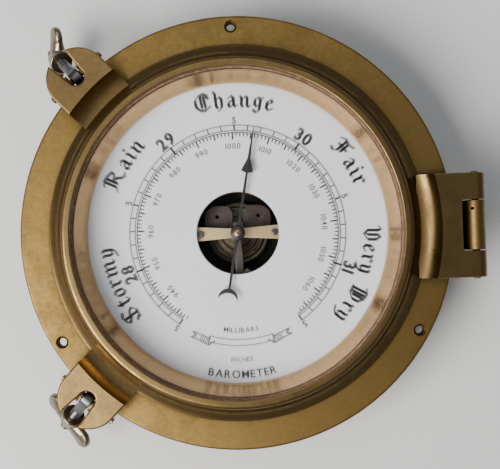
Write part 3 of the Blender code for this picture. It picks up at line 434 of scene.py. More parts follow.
def combine(base, operation, tools):
    for tool in tools:
        step = base.modifiers.new(operation.lower(), "BOOLEAN")
        step.operation = operation
        step.solver = "EXACT"
        step.object = tool
    made = evaluated(base)
    for tool in tools:
        bpy.data.objects.remove(tool, do_unlink=True)
    return made


def smooth(shape, angle=32.0):
    """Smooth shading with creases kept and large flats left flat."""
    shape.data.shade_smooth()
    shape.data.set_sharp_from_angle(angle=math.radians(angle))
    weighted = shape.modifiers.new("weighted_normals", "WEIGHTED_NORMAL")
    weighted.keep_sharp = True
    return shape


def show(shape, name, material, body, stands_for=(), angle=32.0):
    """Finish a piece: its name, material, shading and body, and the nodes it stands for."""
    shape.name = name
    shape.data.name = name
    shape.data.materials.clear()
    shape.data.materials.append(material)
    if angle:
        smooth(shape, angle)
    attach(shape, body)
    if stands_for:
        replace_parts(shape, *stands_for)
    return shape


def polar(radius, degrees):
    return (radius * math.cos(math.radians(degrees)), radius * math.sin(math.radians(degrees)))


# --- door casting -----------------------------------------------------------------
FOOT_R, BEAD_R, LIP_R, REBATE_R = 86.3, 79.8, 75.2, 78.4
COVE_FLOOR, COVE_TOP_R = 41.7, 92.4
EAR_HALF, EAR_TIP, EAR_UNDER = 14.3, 114.0, 43.4
SLOT_END, SLOT_HALF, MOUTH_HALF = 101.0, 3.8, 5.1
BARREL_R, CUT_X, CUT_HALF = 4.3, 101.3, 11.7


def cove_cutter():
    """Hollows the inner end of an ear or leaf in one sweep down to the ring's flank."""
    knots = [Vector(k) for k in ((80.0, COVE_FLOOR), (88.4, COVE_FLOOR), (91.2, 43.8),
                                 (COVE_TOP_R, PLATE_TOP))]
    profile = []
    for i in range(21):
        t = i / 20
        weights = ((1 - t) ** 3, 3 * t * (1 - t) ** 2, 3 * t * t * (1 - t), t ** 3)
        profile.append(tuple(sum((w * k for w, k in zip(weights, knots)), Vector((0.0, 0.0)))))
    profile += [(COVE_TOP_R + 0.25, PLATE_TOP + 0.6), (COVE_TOP_R + 1.0, PLATE_TOP + 4.0),
                (78.3, PLATE_TOP + 4.0), (78.3, COVE_FLOOR)]
    return turned("cove", profile)


def web(half, top):
    return block("web", (82.3, -half, DOOR_FOOT), (COVE_TOP_R + 2.0, half, top))


def ear_outline():
    round_r = EAR_TIP - EAR_HALF
    mouth = math.degrees(math.asin(MOUTH_HALF / EAR_HALF))
    outline = [(82.3, -EAR_HALF)] + arc((round_r, 0.0), EAR_HALF, -90.0, -mouth, 28)
    outline += [(x, -y) for x, y in arc((SLOT_END, 0.0), SLOT_HALF, 90.0, 270.0, 24)]
    outline += arc((round_r, 0.0), EAR_HALF, mouth, 90.0, 28)
    return outline + [(82.3, EAR_HALF)]


def ear(angle):
    made = plate("ear", ear_outline(), EAR_UNDER, PLATE_TOP, bevel=0.9, rounds=4)
    made = combine(made, "UNION", [web(EAR_HALF - 0.2, EAR_UNDER + 1.2)])
    return spin(combine(made, "DIFFERENCE", [cove_cutter()]), angle)


def hinge_leaf():
    under = HINGE_Z - BARREL_R
    outline = [(82.3, under)] + arc((HINGE_X, HINGE_Z), BARREL_R, -90.0, 90.0, 28)
    outline.append((82.3, PLATE_TOP))
    leaf = spin(plate("leaf", outline, -HINGE_HALF, HINGE_HALF, bevel=0.7, rounds=4), 90.0, "X")
    corner = 1.4
    opening = arc((CUT_X + corner, CUT_HALF - corner), corner, 90.0, 180.0, 8)
    opening += arc((CUT_X + corner, corner - CUT_HALF), corner, 180.0, 270.0, 8)
    opening += [(HINGE_X + 10.0, -CUT_HALF), (HINGE_X + 10.0, CUT_HALF)]
    cutout = plate("cutout", opening, under - 5.0, PLATE_TOP + 5.0)
    hole = rod("hole", HINGE_HOLE_R, (HINGE_X, -30.0, HINGE_Z), (HINGE_X, 30.0, HINGE_Z))
    return combine(leaf, "DIFFERENCE", [cutout, hole, cove_cutter()])


def door_section():
    foot, shoulder = Vector((85.4, 41.0)), Vector((BEAD_R, 47.8))
    profile = [(REBATE_R, DOOR_FOOT), (FOOT_R - 0.3, DOOR_FOOT), (FOOT_R, DOOR_FOOT + 0.3),
               (FOOT_R, 40.3), (FOOT_R - 0.25, 40.75)]
    for i in range(15):
        t = i / 14
        point = foot.lerp(shoulder, t) - Vector((0.78, 0.62)) * 1.1 * math.sin(math.pi * t)
        profile.append((point.x, point.y))
    profile += arc((BEAD_R - 2.2, DOOR_TOP - 2.2), 2.2, 5.0, 90.0, 14)
    profile += arc((LIP_R + 0.7, DOOR_TOP - 0.7), 0.7, 90.0, 180.0, 6)
    under = GLASS_HIGH + 1.6
    return profile + [(LIP_R, under), (REBATE_R, under)]


def door():
    ring = turned("door", door_section())
    parts = [hinge_leaf(), web(HINGE_HALF - 0.2, COVE_FLOOR)]
    parts += [ear(angle) for angle in EAR_ANGLES.values()]
    ring = combine(ring, "UNION", parts)
    show(ring, "door_casting", DOOR, "door",
         ("door_ring", "clamp_ear_upper", "clamp_ear_lower"))
    pane = [(0.0, GLASS_HIGH), (GLASS_R - 0.3, GLASS_HIGH), (GLASS_R, GLASS_HIGH - 0.3),
            (GLASS_R, GLASS_LOW), (0.0, GLASS_LOW)]
    show(turned("pane", pane), "glass_pane", GLASS, "door", ("door_glass",))
    gasket_low, gasket_high = low("glass_gasket").z, high("glass_gasket").z
    lip = 74.5
    section = [(GLASS_R, gasket_low), (lip + 0.2, gasket_low)]
    section += arc((lip + 0.5, (gasket_low + gasket_high) * 0.5), 0.5, 250.0, 110.0, 6)
    section += [(GLASS_R, gasket_high)]
    show(turned("gasket", section), "gasket_ring", GASKET, "door",
         ("glass_gasket",))
    top, foot = high("glass_retaining_ring").z, low("glass_retaining_ring").z
    keeper = [(75.6, top), (GLASS_R, top), (GLASS_R, foot + 0.2), (GLASS_R - 0.2, foot),
              (75.8, foot), (75.6, foot + 0.2)]
    show(turned("keeper", keeper), "retaining_ring", DOOR, "door",
         ("glass_retaining_ring",))


# --- case -------------------------------------------------------------------------
FLANGE_BORE_R, SEAT_R, SEAT_DEPTH, FLANGE_ROUND = 76.5, 83.0, 1.5, 1.2
KNUCKLE_HALF, LUG_HALF = 11.2, 13.2
DRUM_R, DRUM_WALL, DRUM_FLOOR, DRUM_RIM_R = 82.0, 2.0, 2.0, 73.0
HINGE_PIN_R, HINGE_HOLE_R, DOG_PIN_R, DOG_HOLE_R = 1.6, 1.7, 1.5, 1.6
SCREW_CIRCLE_R, SCREW_HOLE_R, SCREW_SINK_R, SCREW_SINK_DEPTH = 95.0, 1.9, 2.9, 1.2
SCREW_ANGLES = (90.0, 210.0, 330.0)


def knuckle():
    """The flange's middle barrel of the hinge, between the door's two prongs."""
    inner = 95.0
    outline = [(inner, FLANGE_BACK + 0.4), (105.5, FLANGE_BACK + 0.4)]
    outline += arc((HINGE_X, HINGE_Z), BARREL_R - 0.1, -35.0, 190.0, 32)
    outline += [(103.2, FLANGE_FACE + 0.8), (101.2, FLANGE_FACE - GAP), (inner, FLANGE_FACE - GAP)]
    return spin(plate("knuckle", outline, -KNUCKLE_HALF, KNUCKLE_HALF, bevel=0.4), 90.0, "X")


def lug(angle):
    """The two cheeks on the flange that hold a swing bolt's pin, before their notch."""
    inner, outer = 94.5, 98.6
    cheek = [(inner, FLANGE_BACK + GAP), (outer, FLANGE_BACK + GAP)]
    cheek += arc((DOG_R, DOG_Z), EYE_R, -120.0, 120.0, 28)
    cheek += [(outer, FLANGE_FACE - GAP), (inner, FLANGE_FACE - GAP)]
    made = spin(plate("lug", cheek, -LUG_HALF, LUG_HALF, bevel=0.5), 90.0, "X")
    hole = rod("hole", DOG_HOLE_R, (DOG_R, -20.0, DOG_Z), (DOG_R, 20.0, DOG_Z))
    return spin(combine(made, "DIFFERENCE", [hole]), angle)


def notch(angle):
    """Cutter for the gap that a swing bolt's eye turns in."""
    half = EYE_HALF + 0.5
    return spin(block("notch", (DOG_R - EYE_R - 0.6, -half, FLANGE_BACK - 5.0),
                      (DOG_R + 12.0, half, FLANGE_FACE + 6.0)), angle)


def screw_sink(angle):
    """Cutter for one countersunk hole of the flange."""
    x, y = polar(SCREW_CIRCLE_R, angle)
    above, below = FLANGE_FACE + 1.0, FLANGE_BACK - 1.0
    profile = [(0.0, above), (SCREW_SINK_R + 0.2, above), (SCREW_SINK_R, FLANGE_FACE),
               (SCREW_HOLE_R, FLANGE_FACE - SCREW_SINK_DEPTH), (SCREW_HOLE_R, below), (0.0, below)]
    return move(turned("sink", profile, 48), Matrix.Translation((x * MM, y * MM, 0.0)))


def flange():
    profile = [(FLANGE_BORE_R, FLANGE_FACE), (FLANGE_R - FLANGE_ROUND, FLANGE_FACE)]
    profile += arc((FLANGE_R - FLANGE_ROUND, FLANGE_FACE - FLANGE_ROUND), FLANGE_ROUND, 80.0, 0.0, 7)
    profile += [(FLANGE_R, FLANGE_BACK + 0.5), (FLANGE_R - 0.5, FLANGE_BACK), (SEAT_R, FLANGE_BACK),
                (SEAT_R, FLANGE_BACK + SEAT_DEPTH), (FLANGE_BORE_R, FLANGE_BACK + SEAT_DEPTH)]
    parts = [knuckle()] + [lug(angle) for angle in EAR_ANGLES.values()]
    ring = combine(turned("flange", profile), "UNION", parts)
    cutters = [notch(angle) for angle in EAR_ANGLES.values()]
    cutters.append(rod("hole", HINGE_HOLE_R, (HINGE_X, -30.0, HINGE_Z), (HINGE_X, 30.0, HINGE_Z)))
    cutters += [screw_sink(angle) for angle in SCREW_ANGLES]
    oil_x, oil_y = HINGE_X - 2.2, 7.4
    cutters.append(rod("oil_hole", 0.75, (oil_x, oil_y, HINGE_Z), (oil_x, oil_y, DOOR_TOP + 5.0), 24))
    show(combine(ring, "DIFFERENCE", cutters), "case_flange", CASE, "case",
         ("mounting_flange",))
    half = high("hinge_pin").y
    pin = rod("pin", HINGE_PIN_R, (HINGE_X, -half, HINGE_Z), (HINGE_X, half, HINGE_Z), 40, 0.4)
    show(pin, "hinge_spindle", CASE, "case", ("hinge_pin",))


def drum():
    top, foot = high("case_drum").z, low("case_drum").z
    inner, chamfer = DRUM_R - DRUM_WALL, 0.4
    wall = [(inner, top), (DRUM_R, top), (DRUM_R, foot + chamfer), (DRUM_R - chamfer, foot),
            (DRUM_RIM_R, foot), (DRUM_RIM_R, foot + DRUM_FLOOR), (inner, foot + DRUM_FLOOR)]
    places = [polar(77.0, angle) for angle in (30.0, 150.0, 270.0)]
    holes = [rod("hole", 1.6, (x, y, foot - 1.0), (x, y, foot + 4.0), 24) for x, y in places]
    show(combine(turned("shell", wall), "DIFFERENCE", holes), "drum_wall", CASE, "case",
         ("case_drum",))


def bezel():
    """The polished slope round the dial, slightly hollow across its width."""
    foot_z, inner, width, bulge = low("inner_bezel").z, 70.5, 4.5, 0.5
    face = []
    for i in range(13):
        t = i / 12
        face.append((inner + width * t + bulge * math.sin(math.pi * t),
                     foot_z + (BEZEL_TOP - foot_z) * t))
    back = [(76.2, BEZEL_TOP), (76.2, BEZEL_TOP - 2.0), (72.3, foot_z)]
    show(turned("bezel", face + back), "sloping_bezel", BEZEL, "case",
         ("inner_bezel",))


# --- swing bolts and wing nuts --------------------------------------------------------
def dog_matrix(angle):
    x, y = polar(DOG_R, angle)
    return (Matrix.Translation((x * MM, y * MM, DOG_Z * MM))
            @ Matrix.Rotation(math.radians(angle), 4, "Z")
            @ Matrix.Rotation(math.radians(DOG_DROOP), 4, "Y"))


def threaded_shank():
    """A bolt shank along +X, plain near the eye and threaded towards its end."""
    sides, pitch, depth, steps = 28, 0.9, 0.28, 8
    start, thread_from = 2.2, 11.0
    stations = [start] + [thread_from - 0.4 + i * pitch / steps
                          for i in range(int((BOLT_LENGTH + 2.0 - thread_from) / pitch * steps))]
    verts, faces = [], []
    for x in stations:
        for i in range(sides):
            turn = i / sides
            wave = abs(2.0 * ((x / pitch - turn) % 1.0) - 1.0)
            fade = min(1.0, max(0.0, (x - thread_from) / 0.8))
            chamfer = max(0.0, x - (BOLT_LENGTH + 1.0)) * 0.9
            radius = BOLT_R - fade * depth * wave - chamfer
            verts.append((x, radius * math.cos(math.tau * turn), radius * math.sin(math.tau * turn)))
    for k in range(len(stations) - 1):
        for i in range(sides):
            j = (i + 1) % sides
            faces.append((k * sides + i, k * sides + j, (k + 1) * sides + j, (k + 1) * sides + i))
    faces.append(tuple(range(sides)))
    faces.append(tuple((len(stations) - 1) * sides + i for i in reversed(range(sides))))
    return from_lists("shank", verts, faces)


def blob(centre, radii):
    """An ellipsoid, for building the soft shape of a cast wing."""
    builder = bmesh.new()
    bmesh.ops.create_uvsphere(builder, u_segments=24, v_segments=16, radius=MM)
    matrix = Matrix.Translation(Vector(centre) * MM) @ Matrix.Diagonal((*radii, 1.0))
    bmesh.ops.transform(builder, matrix=matrix, verts=builder.verts)
    mesh = bpy.data.meshes.new("blob")
    builder.to_mesh(mesh)
    builder.free()
    return link("blob", mesh)


def joined(shapes, name):
    builder = bmesh.new()
    for shape in shapes:
        builder.from_mesh(shape.data)
        bpy.data.objects.remove(shape, do_unlink=True)
    mesh = bpy.data.meshes.new(name)
    builder.to_mesh(mesh)
    builder.free()
    return link(name, mesh)


def wing_nut(side):
    """A cast thumb nut: flared collar and broad wings with a softly rolled rim."""
    start, top, lobe_x, lobe_y = NUT_START, NUT_START + NUT_HEIGHT, NUT_START + 6.6, 10.4
    collar = [(0.0, start), (5.2, start), (5.6, start + 0.5), (5.5, start + 1.5), (4.6, start + 4.0),
              (4.3, top - 0.8), (3.6, top), (0.0, top)]
    shapes = [spin(turned("collar", collar, 64), 90.0, "Y")]
    for way in (-1.0, 1.0):
        for i in range(15):
            t = i / 14
            shapes.append(blob((start + 5.0 + 1.8 * t, way * (2.0 + (lobe_y - 2.0) * t), 0.0),
                               (4.5 + 0.4 * t, 3.4 + 1.0 * t, 3.8 - 1.6 * t)))
        for i in range(34):
            x, y = polar(3.8, -120.0 + 310.0 * i / 33)
            shapes.append(blob((lobe_x + x, way * (lobe_y + y), 0.0), (1.1, 1.1, 1.7)))
    nut = joined(shapes, "nut")
    remesh = nut.modifiers.new("remesh", "REMESH")
    remesh.mode = "VOXEL"
    remesh.voxel_size = 0.32 * MM
    soften = nut.modifiers.new("soften", "SMOOTH")
    soften.iterations = 6
    nut = evaluated(nut)
    bore = rod("bore", BOLT_R + 0.2, (start - 5.0, 0.0, 0.0), (top + 12.0, 0.0, 0.0), 48)
    nut = spin(combine(nut, "DIFFERENCE", [bore]), NUT_SPINS[side], "X")
    move(nut, dog_matrix(EAR_ANGLES[side]))
    show(nut, f"thumb_nut_{side}", BRONZE, f"nut_{side}", (f"wing_nut_{side}",), 45.0)


def swing_bolt(side):
    profile = [(0.0, -EYE_HALF), (EYE_R - 0.5, -EYE_HALF), (EYE_R, -EYE_HALF + 0.5),
               (EYE_R, EYE_HALF - 0.5), (EYE_R - 0.5, EYE_HALF), (0.0, EYE_HALF)]
    eye = spin(turned("eye", profile, 64), 90.0, "X")
    bolt = combine(eye, "UNION", [threaded_shank()])
    hole = rod("hole", DOG_HOLE_R, (0.0, -10.0, 0.0), (0.0, 10.0, 0.0))
    bolt = move(combine(bolt, "DIFFERENCE", [hole]), dog_matrix(EAR_ANGLES[side]))
    show(bolt, f"eye_bolt_{side}", STEEL, f"bolt_{side}", (f"swing_bolt_{side}",), 40.0)
    pin = rod("pin", DOG_PIN_R, (DOG_R, -PIN_HALF, DOG_Z), (DOG_R, PIN_HALF, DOG_Z), 36, 0.35)
    show(spin(pin, EAR_ANGLES[side]), f"pivot_pin_{side}", BRONZE, "case",
         (f"dog_pin_{side}",))


# --- dial print ---------------------------------------------------------------------
OUTER_ARC_R, MIDDLE_ARC_R, INNER_ARC_R = 50.79, 48.30, 47.31
BAR_TICK_R = 47.12
WORD_R, INCH_NUMBER_R, HALF_INCH_R, BAR_NUMBER_R = 59.26, 51.97, 51.64, 39.79
MILLIBARS_R, INCHES_R, BAROMETER_R = 46.84, 60.48, 68.19
PRINT_LOW, PRINT_HIGH = DIAL_TOP + 0.006, DIAL_TOP + 0.03


def inch_angle(inches):
    return 90.0 - 72.7275 * (inches - 29.5)


def bar_angle(millibars):
    return 91.2 - 2.147 * (millibars - 1000.0)


def hull(points):
    """Convex hull, counter-clockwise."""
    ordered = sorted(set(points))

    def half(sequence):
        chain = []
        for p in sequence:
            while len(chain) > 1 and ((chain[-1][0] - chain[-2][0]) * (p[1] - chain[-2][1])
                                      - (chain[-1][1] - chain[-2][1]) * (p[0] - chain[-2][0])) <= 0:
                chain.pop()
            chain.append(p)
        return chain[:-1]

    return half(ordered) + half(ordered[::-1])


class Print:
    """Collects the thin closed prisms of one ink."""

    def __init__(self):
        self.verts = []
        self.faces = []

    def prism(self, outline):
        first, count = len(self.verts), len(outline)
        lift = 0.002 * (len(self.faces) % 4)
        self.verts += [(x, y, PRINT_LOW) for x, y in outline]
        self.verts += [(x, y, PRINT_HIGH + lift) for x, y in outline]
        self.faces.append([first + i for i in reversed(range(count))])
        self.faces.append([first + count + i for i in range(count)])
        for i in range(count):
            j = (i + 1) % count
            self.faces.append([first + i, first + j, first + count + j, first + count + i])

    def line(self, start, end, width):
        a, b = Vector(start), Vector(end)
        side = (b - a).normalized().orthogonal() * width * 0.5
        self.prism([tuple(a - side), tuple(b - side), tuple(b + side), tuple(a + side)][::-1]
                   if (b - a).cross(side) < 0 else
                   [tuple(a - side), tuple(b - side), tuple(b + side), tuple(a + side)])

    def path(self, points, width):
        for a, b in zip(points, points[1:]):
            self.nib([a, b], width, width, 0.0)

    def nib(self, points, width, thickness, angle):
        """Drag a broad nib along a polyline."""
        c, s = math.cos(math.radians(angle)), math.sin(math.radians(angle))
        corner_shade_mask = [(0.5 * (u * width * c - v * thickness * s), 0.5 * (u * width * s + v * thickness * c))
                   for u in (-1, 1) for v in (-1, 1)]
        for a, b in zip(points, points[1:]):
            self.prism(hull([(round(p[0] + x, 5), round(p[1] + y, 5))
                             for p in (a, b) for x, y in corner_shade_mask]))

    def band(self, radius, start, end, width):
        count = max(2, int(abs(end - start) / 1.2))
        for i in range(count):
            a, b = (start + (end - start) * k / count for k in (i, i + 1))
            self.prism([polar(radius - width * 0.5, b), polar(radius - width * 0.5, a),
                        polar(radius + width * 0.5, a), polar(radius + width * 0.5, b)])

    def tick(self, angle, start, end, width):
        self.line(polar(start, angle), polar(end, angle), width)

    def glyph(self, outline_mesh, matrix):
        first = len(self.verts)
        for v in outline_mesh["verts"]:
            p = matrix @ Vector((v[0], v[1], 0.0))
            self.verts.append((p.x, p.y, PRINT_HIGH if v[2] > 0 else PRINT_LOW))
        self.faces += [[first + i for i in face] for face in outline_mesh["faces"]]

    def finish(self, name, material):
        made = from_lists(name, self.verts, self.faces)
        builder = bmesh.new()
        builder.from_mesh(made.data)
        bmesh.ops.recalc_face_normals(builder, faces=builder.faces)
        builder.to_mesh(made.data)
        builder.free()
        return show(made, name, material, "case", angle=None)


GLYPHS = {}


def glyph_of(letter, weight):
    """Outline of one letter of the built-in face, a unit high, with its width."""
    key = (letter, weight)
    if key not in GLYPHS:
        curve = bpy.data.curves.new("letter", "FONT")
        curve.body = letter
        curve.size = 1.0
        curve.offset = weight
        curve.extrude = 0.01
        curve.resolution_u = 4
        holder = link("letter", curve)
        bpy.context.view_layer.update()
        result = holder.evaluated_get(bpy.context.evaluated_depsgraph_get())
        mesh = bpy.data.meshes.new_from_object(result)
        xs = [v.co.x for v in mesh.vertices]
        left, cap = min(xs), 0.729
        GLYPHS[key] = {"verts": [((v.co.x - left) / cap, v.co.y / cap, v.co.z) for v in mesh.vertices],
                       "faces": [list(p.vertices) for p in mesh.polygons],
                       "width": (max(xs) - left) / cap}
        bpy.data.objects.remove(holder, do_unlink=True)
    return GLYPHS[key]


def on_arc(radius, angle, outward):
    """Frame of a letter whose baseline touches a circle, upright outwards or inwards."""
    x, y = polar(radius, angle)
    turn = math.radians(angle - 90.0 if outward else angle + 90.0)
    return Matrix.Translation((x, y, 0.0)) @ Matrix.Rotation(turn, 4, "Z")


def lettering(ink, text, radius, centre, height, gap, weight=0.0, outward=True, squeeze=1.0):
    """Set a plain word or number along a circle about the dial's centre."""
    shapes = [None if c == " " else glyph_of(c, weight) for c in text]
    widths = [0.5 * height if g is None else g["width"] * height * squeeze for g in shapes]
    total = sum(widths) + gap * (len(text) - 1)
    place = -0.5 * total
    for shape, width in zip(shapes, widths):
        if shape:
            middle = place + 0.5 * width
            swing = math.degrees(middle / radius)
            matrix = on_arc(radius, centre - swing if outward else centre + swing, outward)
            matrix = matrix @ Matrix.Translation((-0.5 * width, 0.0, 0.0))
            ink.glyph(shape, matrix @ Matrix.Diagonal((height * squeeze, height, 1.0, 1.0)))
        place += width + gap


CAPITAL_STRETCH = {"R": 1.75, "F": 1.7, "V": 1.3}
STEM = [(0.0, 0.93), (0.13, 0.80), (0.13, 0.17), (0.26, 0.04), (0.35, 0.13)]
LETTERS = {
    "i": (0.42, [STEM, [(0.09, 1.34), (0.19, 1.24)]]),
    "n": (0.86, [STEM[:4], [(0.15, 0.70), (0.42, 0.97), (0.56, 0.82), (0.56, 0.17), (0.69, 0.04),
                            (0.78, 0.13)]]),
    "m": (1.30, [STEM[:4], [(0.15, 0.70), (0.42, 0.97), (0.56, 0.82), (0.56, 0.17), (0.66, 0.05)],
                 [(0.58, 0.70), (0.85, 0.97), (0.99, 0.82), (0.99, 0.17), (1.12, 0.04), (1.21, 0.13)]]),
    "r": (0.58, [STEM[:4], [(0.15, 0.72), (0.36, 0.97), (0.52, 0.83)]]),
    "a": (0.76, [[(0.08, 0.80), (0.28, 0.97), (0.48, 0.80), (0.48, 0.17), (0.60, 0.04), (0.70, 0.13)],
                 [(0.46, 0.60), (0.20, 0.50), (0.09, 0.34), (0.09, 0.16), (0.22, 0.04), (0.46, 0.24)]]),
    "e": (0.62, [[(0.32, 0.97), (0.09, 0.74), (0.09, 0.22), (0.28, 0.04), (0.54, 0.22)],
                 [(0.32, 0.97), (0.50, 0.79), (0.12, 0.46)]]),
    "o": (0.68, [[(0.30, 0.97), (0.09, 0.78), (0.09, 0.22), (0.28, 0.04), (0.52, 0.22)],
                 [(0.30, 0.97), (0.52, 0.80), (0.52, 0.22)]]),
    "g": (0.74, [[(0.30, 0.97), (0.09, 0.78), (0.09, 0.32), (0.25, 0.18), (0.50, 0.36)],
                 [(0.30, 0.97), (0.50, 0.82), (0.50, -0.12), (0.30, -0.34), (0.02, -0.18)],
                 [(0.50, 0.90), (0.66, 0.99)]]),
    "y": (0.74, [[(0.0, 0.93), (0.12, 0.80), (0.12, 0.22), (0.26, 0.06), (0.50, 0.28)],
                 [(0.38, 0.97), (0.52, 0.82), (0.52, 0.04), (0.36, -0.22), (0.02, -0.38)]]),
    "h": (0.82, [[(0.02, 1.46), (0.14, 1.32), (0.14, 0.17), (0.26, 0.04)],
                 [(0.16, 0.70), (0.43, 0.97), (0.58, 0.80), (0.58, 0.18), (0.48, -0.06), (0.32, -0.22)]]),
    "t": (0.52, [[(0.20, 1.24), (0.15, 1.12), (0.15, 0.2), (0.28, 0.04), (0.44, 0.18)],
                 [(0.0, 0.90), (0.42, 0.90)]]),
    "S": (1.02, [[(0.88, 1.24), (0.66, 1.44), (0.26, 1.32), (0.14, 1.08), (0.34, 0.84), (0.72, 0.66),
                  (0.88, 0.36), (0.60, 0.06), (0.12, 0.16)], [(0.46, 1.34), (0.46, 0.16)],
                 [(0.02, 0.46), (0.18, 0.30)]]),
    "R": (1.12, [[(0.02, 1.24), (0.24, 1.42), (0.56, 1.32), (0.82, 1.14), (0.76, 0.86), (0.40, 0.72)],
                 [(0.24, 1.40), (0.24, 0.26), (0.06, 0.06)], [(0.42, 1.30), (0.42, 0.30)],
                 [(0.46, 0.74), (0.68, 0.52), (0.76, 0.20), (0.94, 0.03), (1.06, 0.14)]]),
    "C": (1.04, [[(0.92, 1.20), (0.66, 1.44), (0.34, 1.32), (0.12, 1.02), (0.12, 0.46), (0.34, 0.12),
                  (0.62, 0.03), (0.94, 0.26)], [(0.52, 1.32), (0.46, 1.08), (0.46, 0.34)],
                 [(0.66, 1.22), (0.66, 0.28)], [(0.80, 1.10), (0.94, 0.96)]]),
    "F": (0.94, [[(0.02, 1.22), (0.24, 1.42), (0.54, 1.30), (0.86, 1.44)],
                 [(0.36, 1.32), (0.36, 0.26), (0.20, 0.03), (0.02, 0.12)], [(0.54, 1.26), (0.54, 0.36)],
                 [(0.16, 0.78), (0.74, 0.78)]]),
    "V": (1.06, [[(0.02, 1.24), (0.18, 1.42), (0.28, 1.22), (0.28, 0.30), (0.54, 0.03), (0.90, 0.34),
                  (0.90, 1.04), (0.68, 1.40)], [(0.58, 1.26), (0.58, 0.30)]]),
    "D": (1.08, [[(0.02, 1.22), (0.28, 1.42), (0.66, 1.32), (0.92, 0.98), (0.90, 0.42), (0.62, 0.06),
                  (0.16, 0.08)], [(0.24, 1.34), (0.24, 0.16)], [(0.46, 1.26), (0.46, 0.22)],
                 [(0.64, 1.16), (0.64, 0.30)]]),
}


def blackletter(ink, word, radius, centre, unit):
    """Write a word with a broad nib along a circle, reading clockwise."""
    gap, nib_width, nib_thickness, nib_turn = 0.17 * unit, 0.235 * unit, 0.12 * unit, 50.0
    stretches = [CAPITAL_STRETCH.get(c, 1.45) if c.isupper() else 1.15 for c in word]
    advance = [LETTERS[c][0] * stretch * unit for c, stretch in zip(word, stretches)]
    place = -0.5 * (sum(advance) + gap * (len(word) - 1))
    for letter, stretch, width in zip(word, stretches, advance):
        swing = math.degrees((place + 0.5 * width) / radius)
        frame_of = on_arc(radius, centre - swing, True)
        rise = 1.05 if letter.isupper() else 1.0
        for stroke in LETTERS[letter][1]:
            points = [frame_of @ Vector((x * stretch * unit - 0.5 * width, y * rise * unit, 0.0))
                      for x, y in stroke]
            ink.nib([(p.x, p.y) for p in points], nib_width, nib_thickness, centre - swing - nib_turn)
        place += width + gap


def ribbon(ink):
    """A plain scroll under the word for the inner scale."""
    weight, hatch_weight, sweep = 0.48, 0.3, 17.0
    upper, lower, fold, curl = 50.09, 52.91, 54.32, 51.97
    for radius in (upper, lower):
        ink.band(radius, 270.0 - sweep, 270.0 + sweep, weight)
    for way in (-1.0, 1.0):
        def at(radius, degrees):
            return polar(radius, 270.0 + way * degrees)
        ink.path([at(upper, sweep), at(lower, sweep)], weight)
        ink.path([at(lower, sweep), at(fold, sweep - 0.5), at(curl, sweep - 3.0)], weight)
        ink.path([at(51.26, sweep), at(50.79, 26.5), at(52.20, 24.0), at(53.38, 26.5),
                  at(fold, sweep - 0.5)], weight)
        for hatch in range(5):
            place = sweep + 0.8 + 0.9 * hatch
            ink.path([at(51.54, place), at(53.43, place)], hatch_weight)


def scales(ink):
    """The inch scale between its three arcs, and the millibar ticks inside them."""
    start, end = inch_angle(27.5), inch_angle(31.5)
    for radius in (OUTER_ARC_R, MIDDLE_ARC_R, INNER_ARC_R):
        ink.band(radius, start, end, 0.56)
    for tenth in range(41):
        angle = inch_angle(27.5 + tenth / 10.0)
        if tenth % 10 == 5:
            ink.tick(angle, 46.84, 51.36, 0.95)
        elif tenth in (0, 40):
            ink.tick(angle, 47.97, 51.03, 0.85)
        elif tenth % 5 == 0:
            ink.tick(angle, 48.63, OUTER_ARC_R, 0.85)
        else:
            ink.tick(angle, MIDDLE_ARC_R, OUTER_ARC_R, 0.54)
    for millibars in range(932, 1068):
        reach = 43.93 if millibars % 10 == 0 else 44.68 if millibars % 5 == 0 else 45.53
        width = 0.56 if millibars % 5 else 0.74
        ink.tick(bar_angle(millibars), reach, BAR_TICK_R, width)


def dial_print():
    black, grey = Print(), Print()
    scales(black)
    for inches in (28, 29, 30, 31):
        lettering(black, str(inches), INCH_NUMBER_R, inch_angle(inches), 5.9, 0.55, 0.044,
                  squeeze=0.92)
    for inches in (27.5, 28.5, 29.5, 30.5, 31.5):
        lettering(black, "5", HALF_INCH_R, inch_angle(inches), 3.1, 0.0, 0.03)
    for millibars in range(940, 1070, 10):
        lettering(grey, str(millibars), BAR_NUMBER_R, bar_angle(millibars), 2.65, 0.42, 0.018)
    words = (("Stormy", 201.75), ("Rain", 147.0), ("Change", 89.75), ("Fair", 30.5), ("Very", -9.5),
             ("Dry", -34.0))
    for word, centre in words:
        blackletter(black, word, WORD_R, centre, 5.4)
    lettering(black, "MILLIBARS", MILLIBARS_R, 270.0, 2.4, 0.45, 0.016, outward=False)
    lettering(black, "INCHES", INCHES_R, 270.0, 2.1, 0.4, 0.016, outward=False)
    lettering(black, "BAROMETER", BAROMETER_R, 270.0, 3.7, 0.65, 0.026, outward=False)
    ribbon(black)
    black.finish("dial_print_black", INK)
    grey.finish("dial_print_grey", PALE_INK)


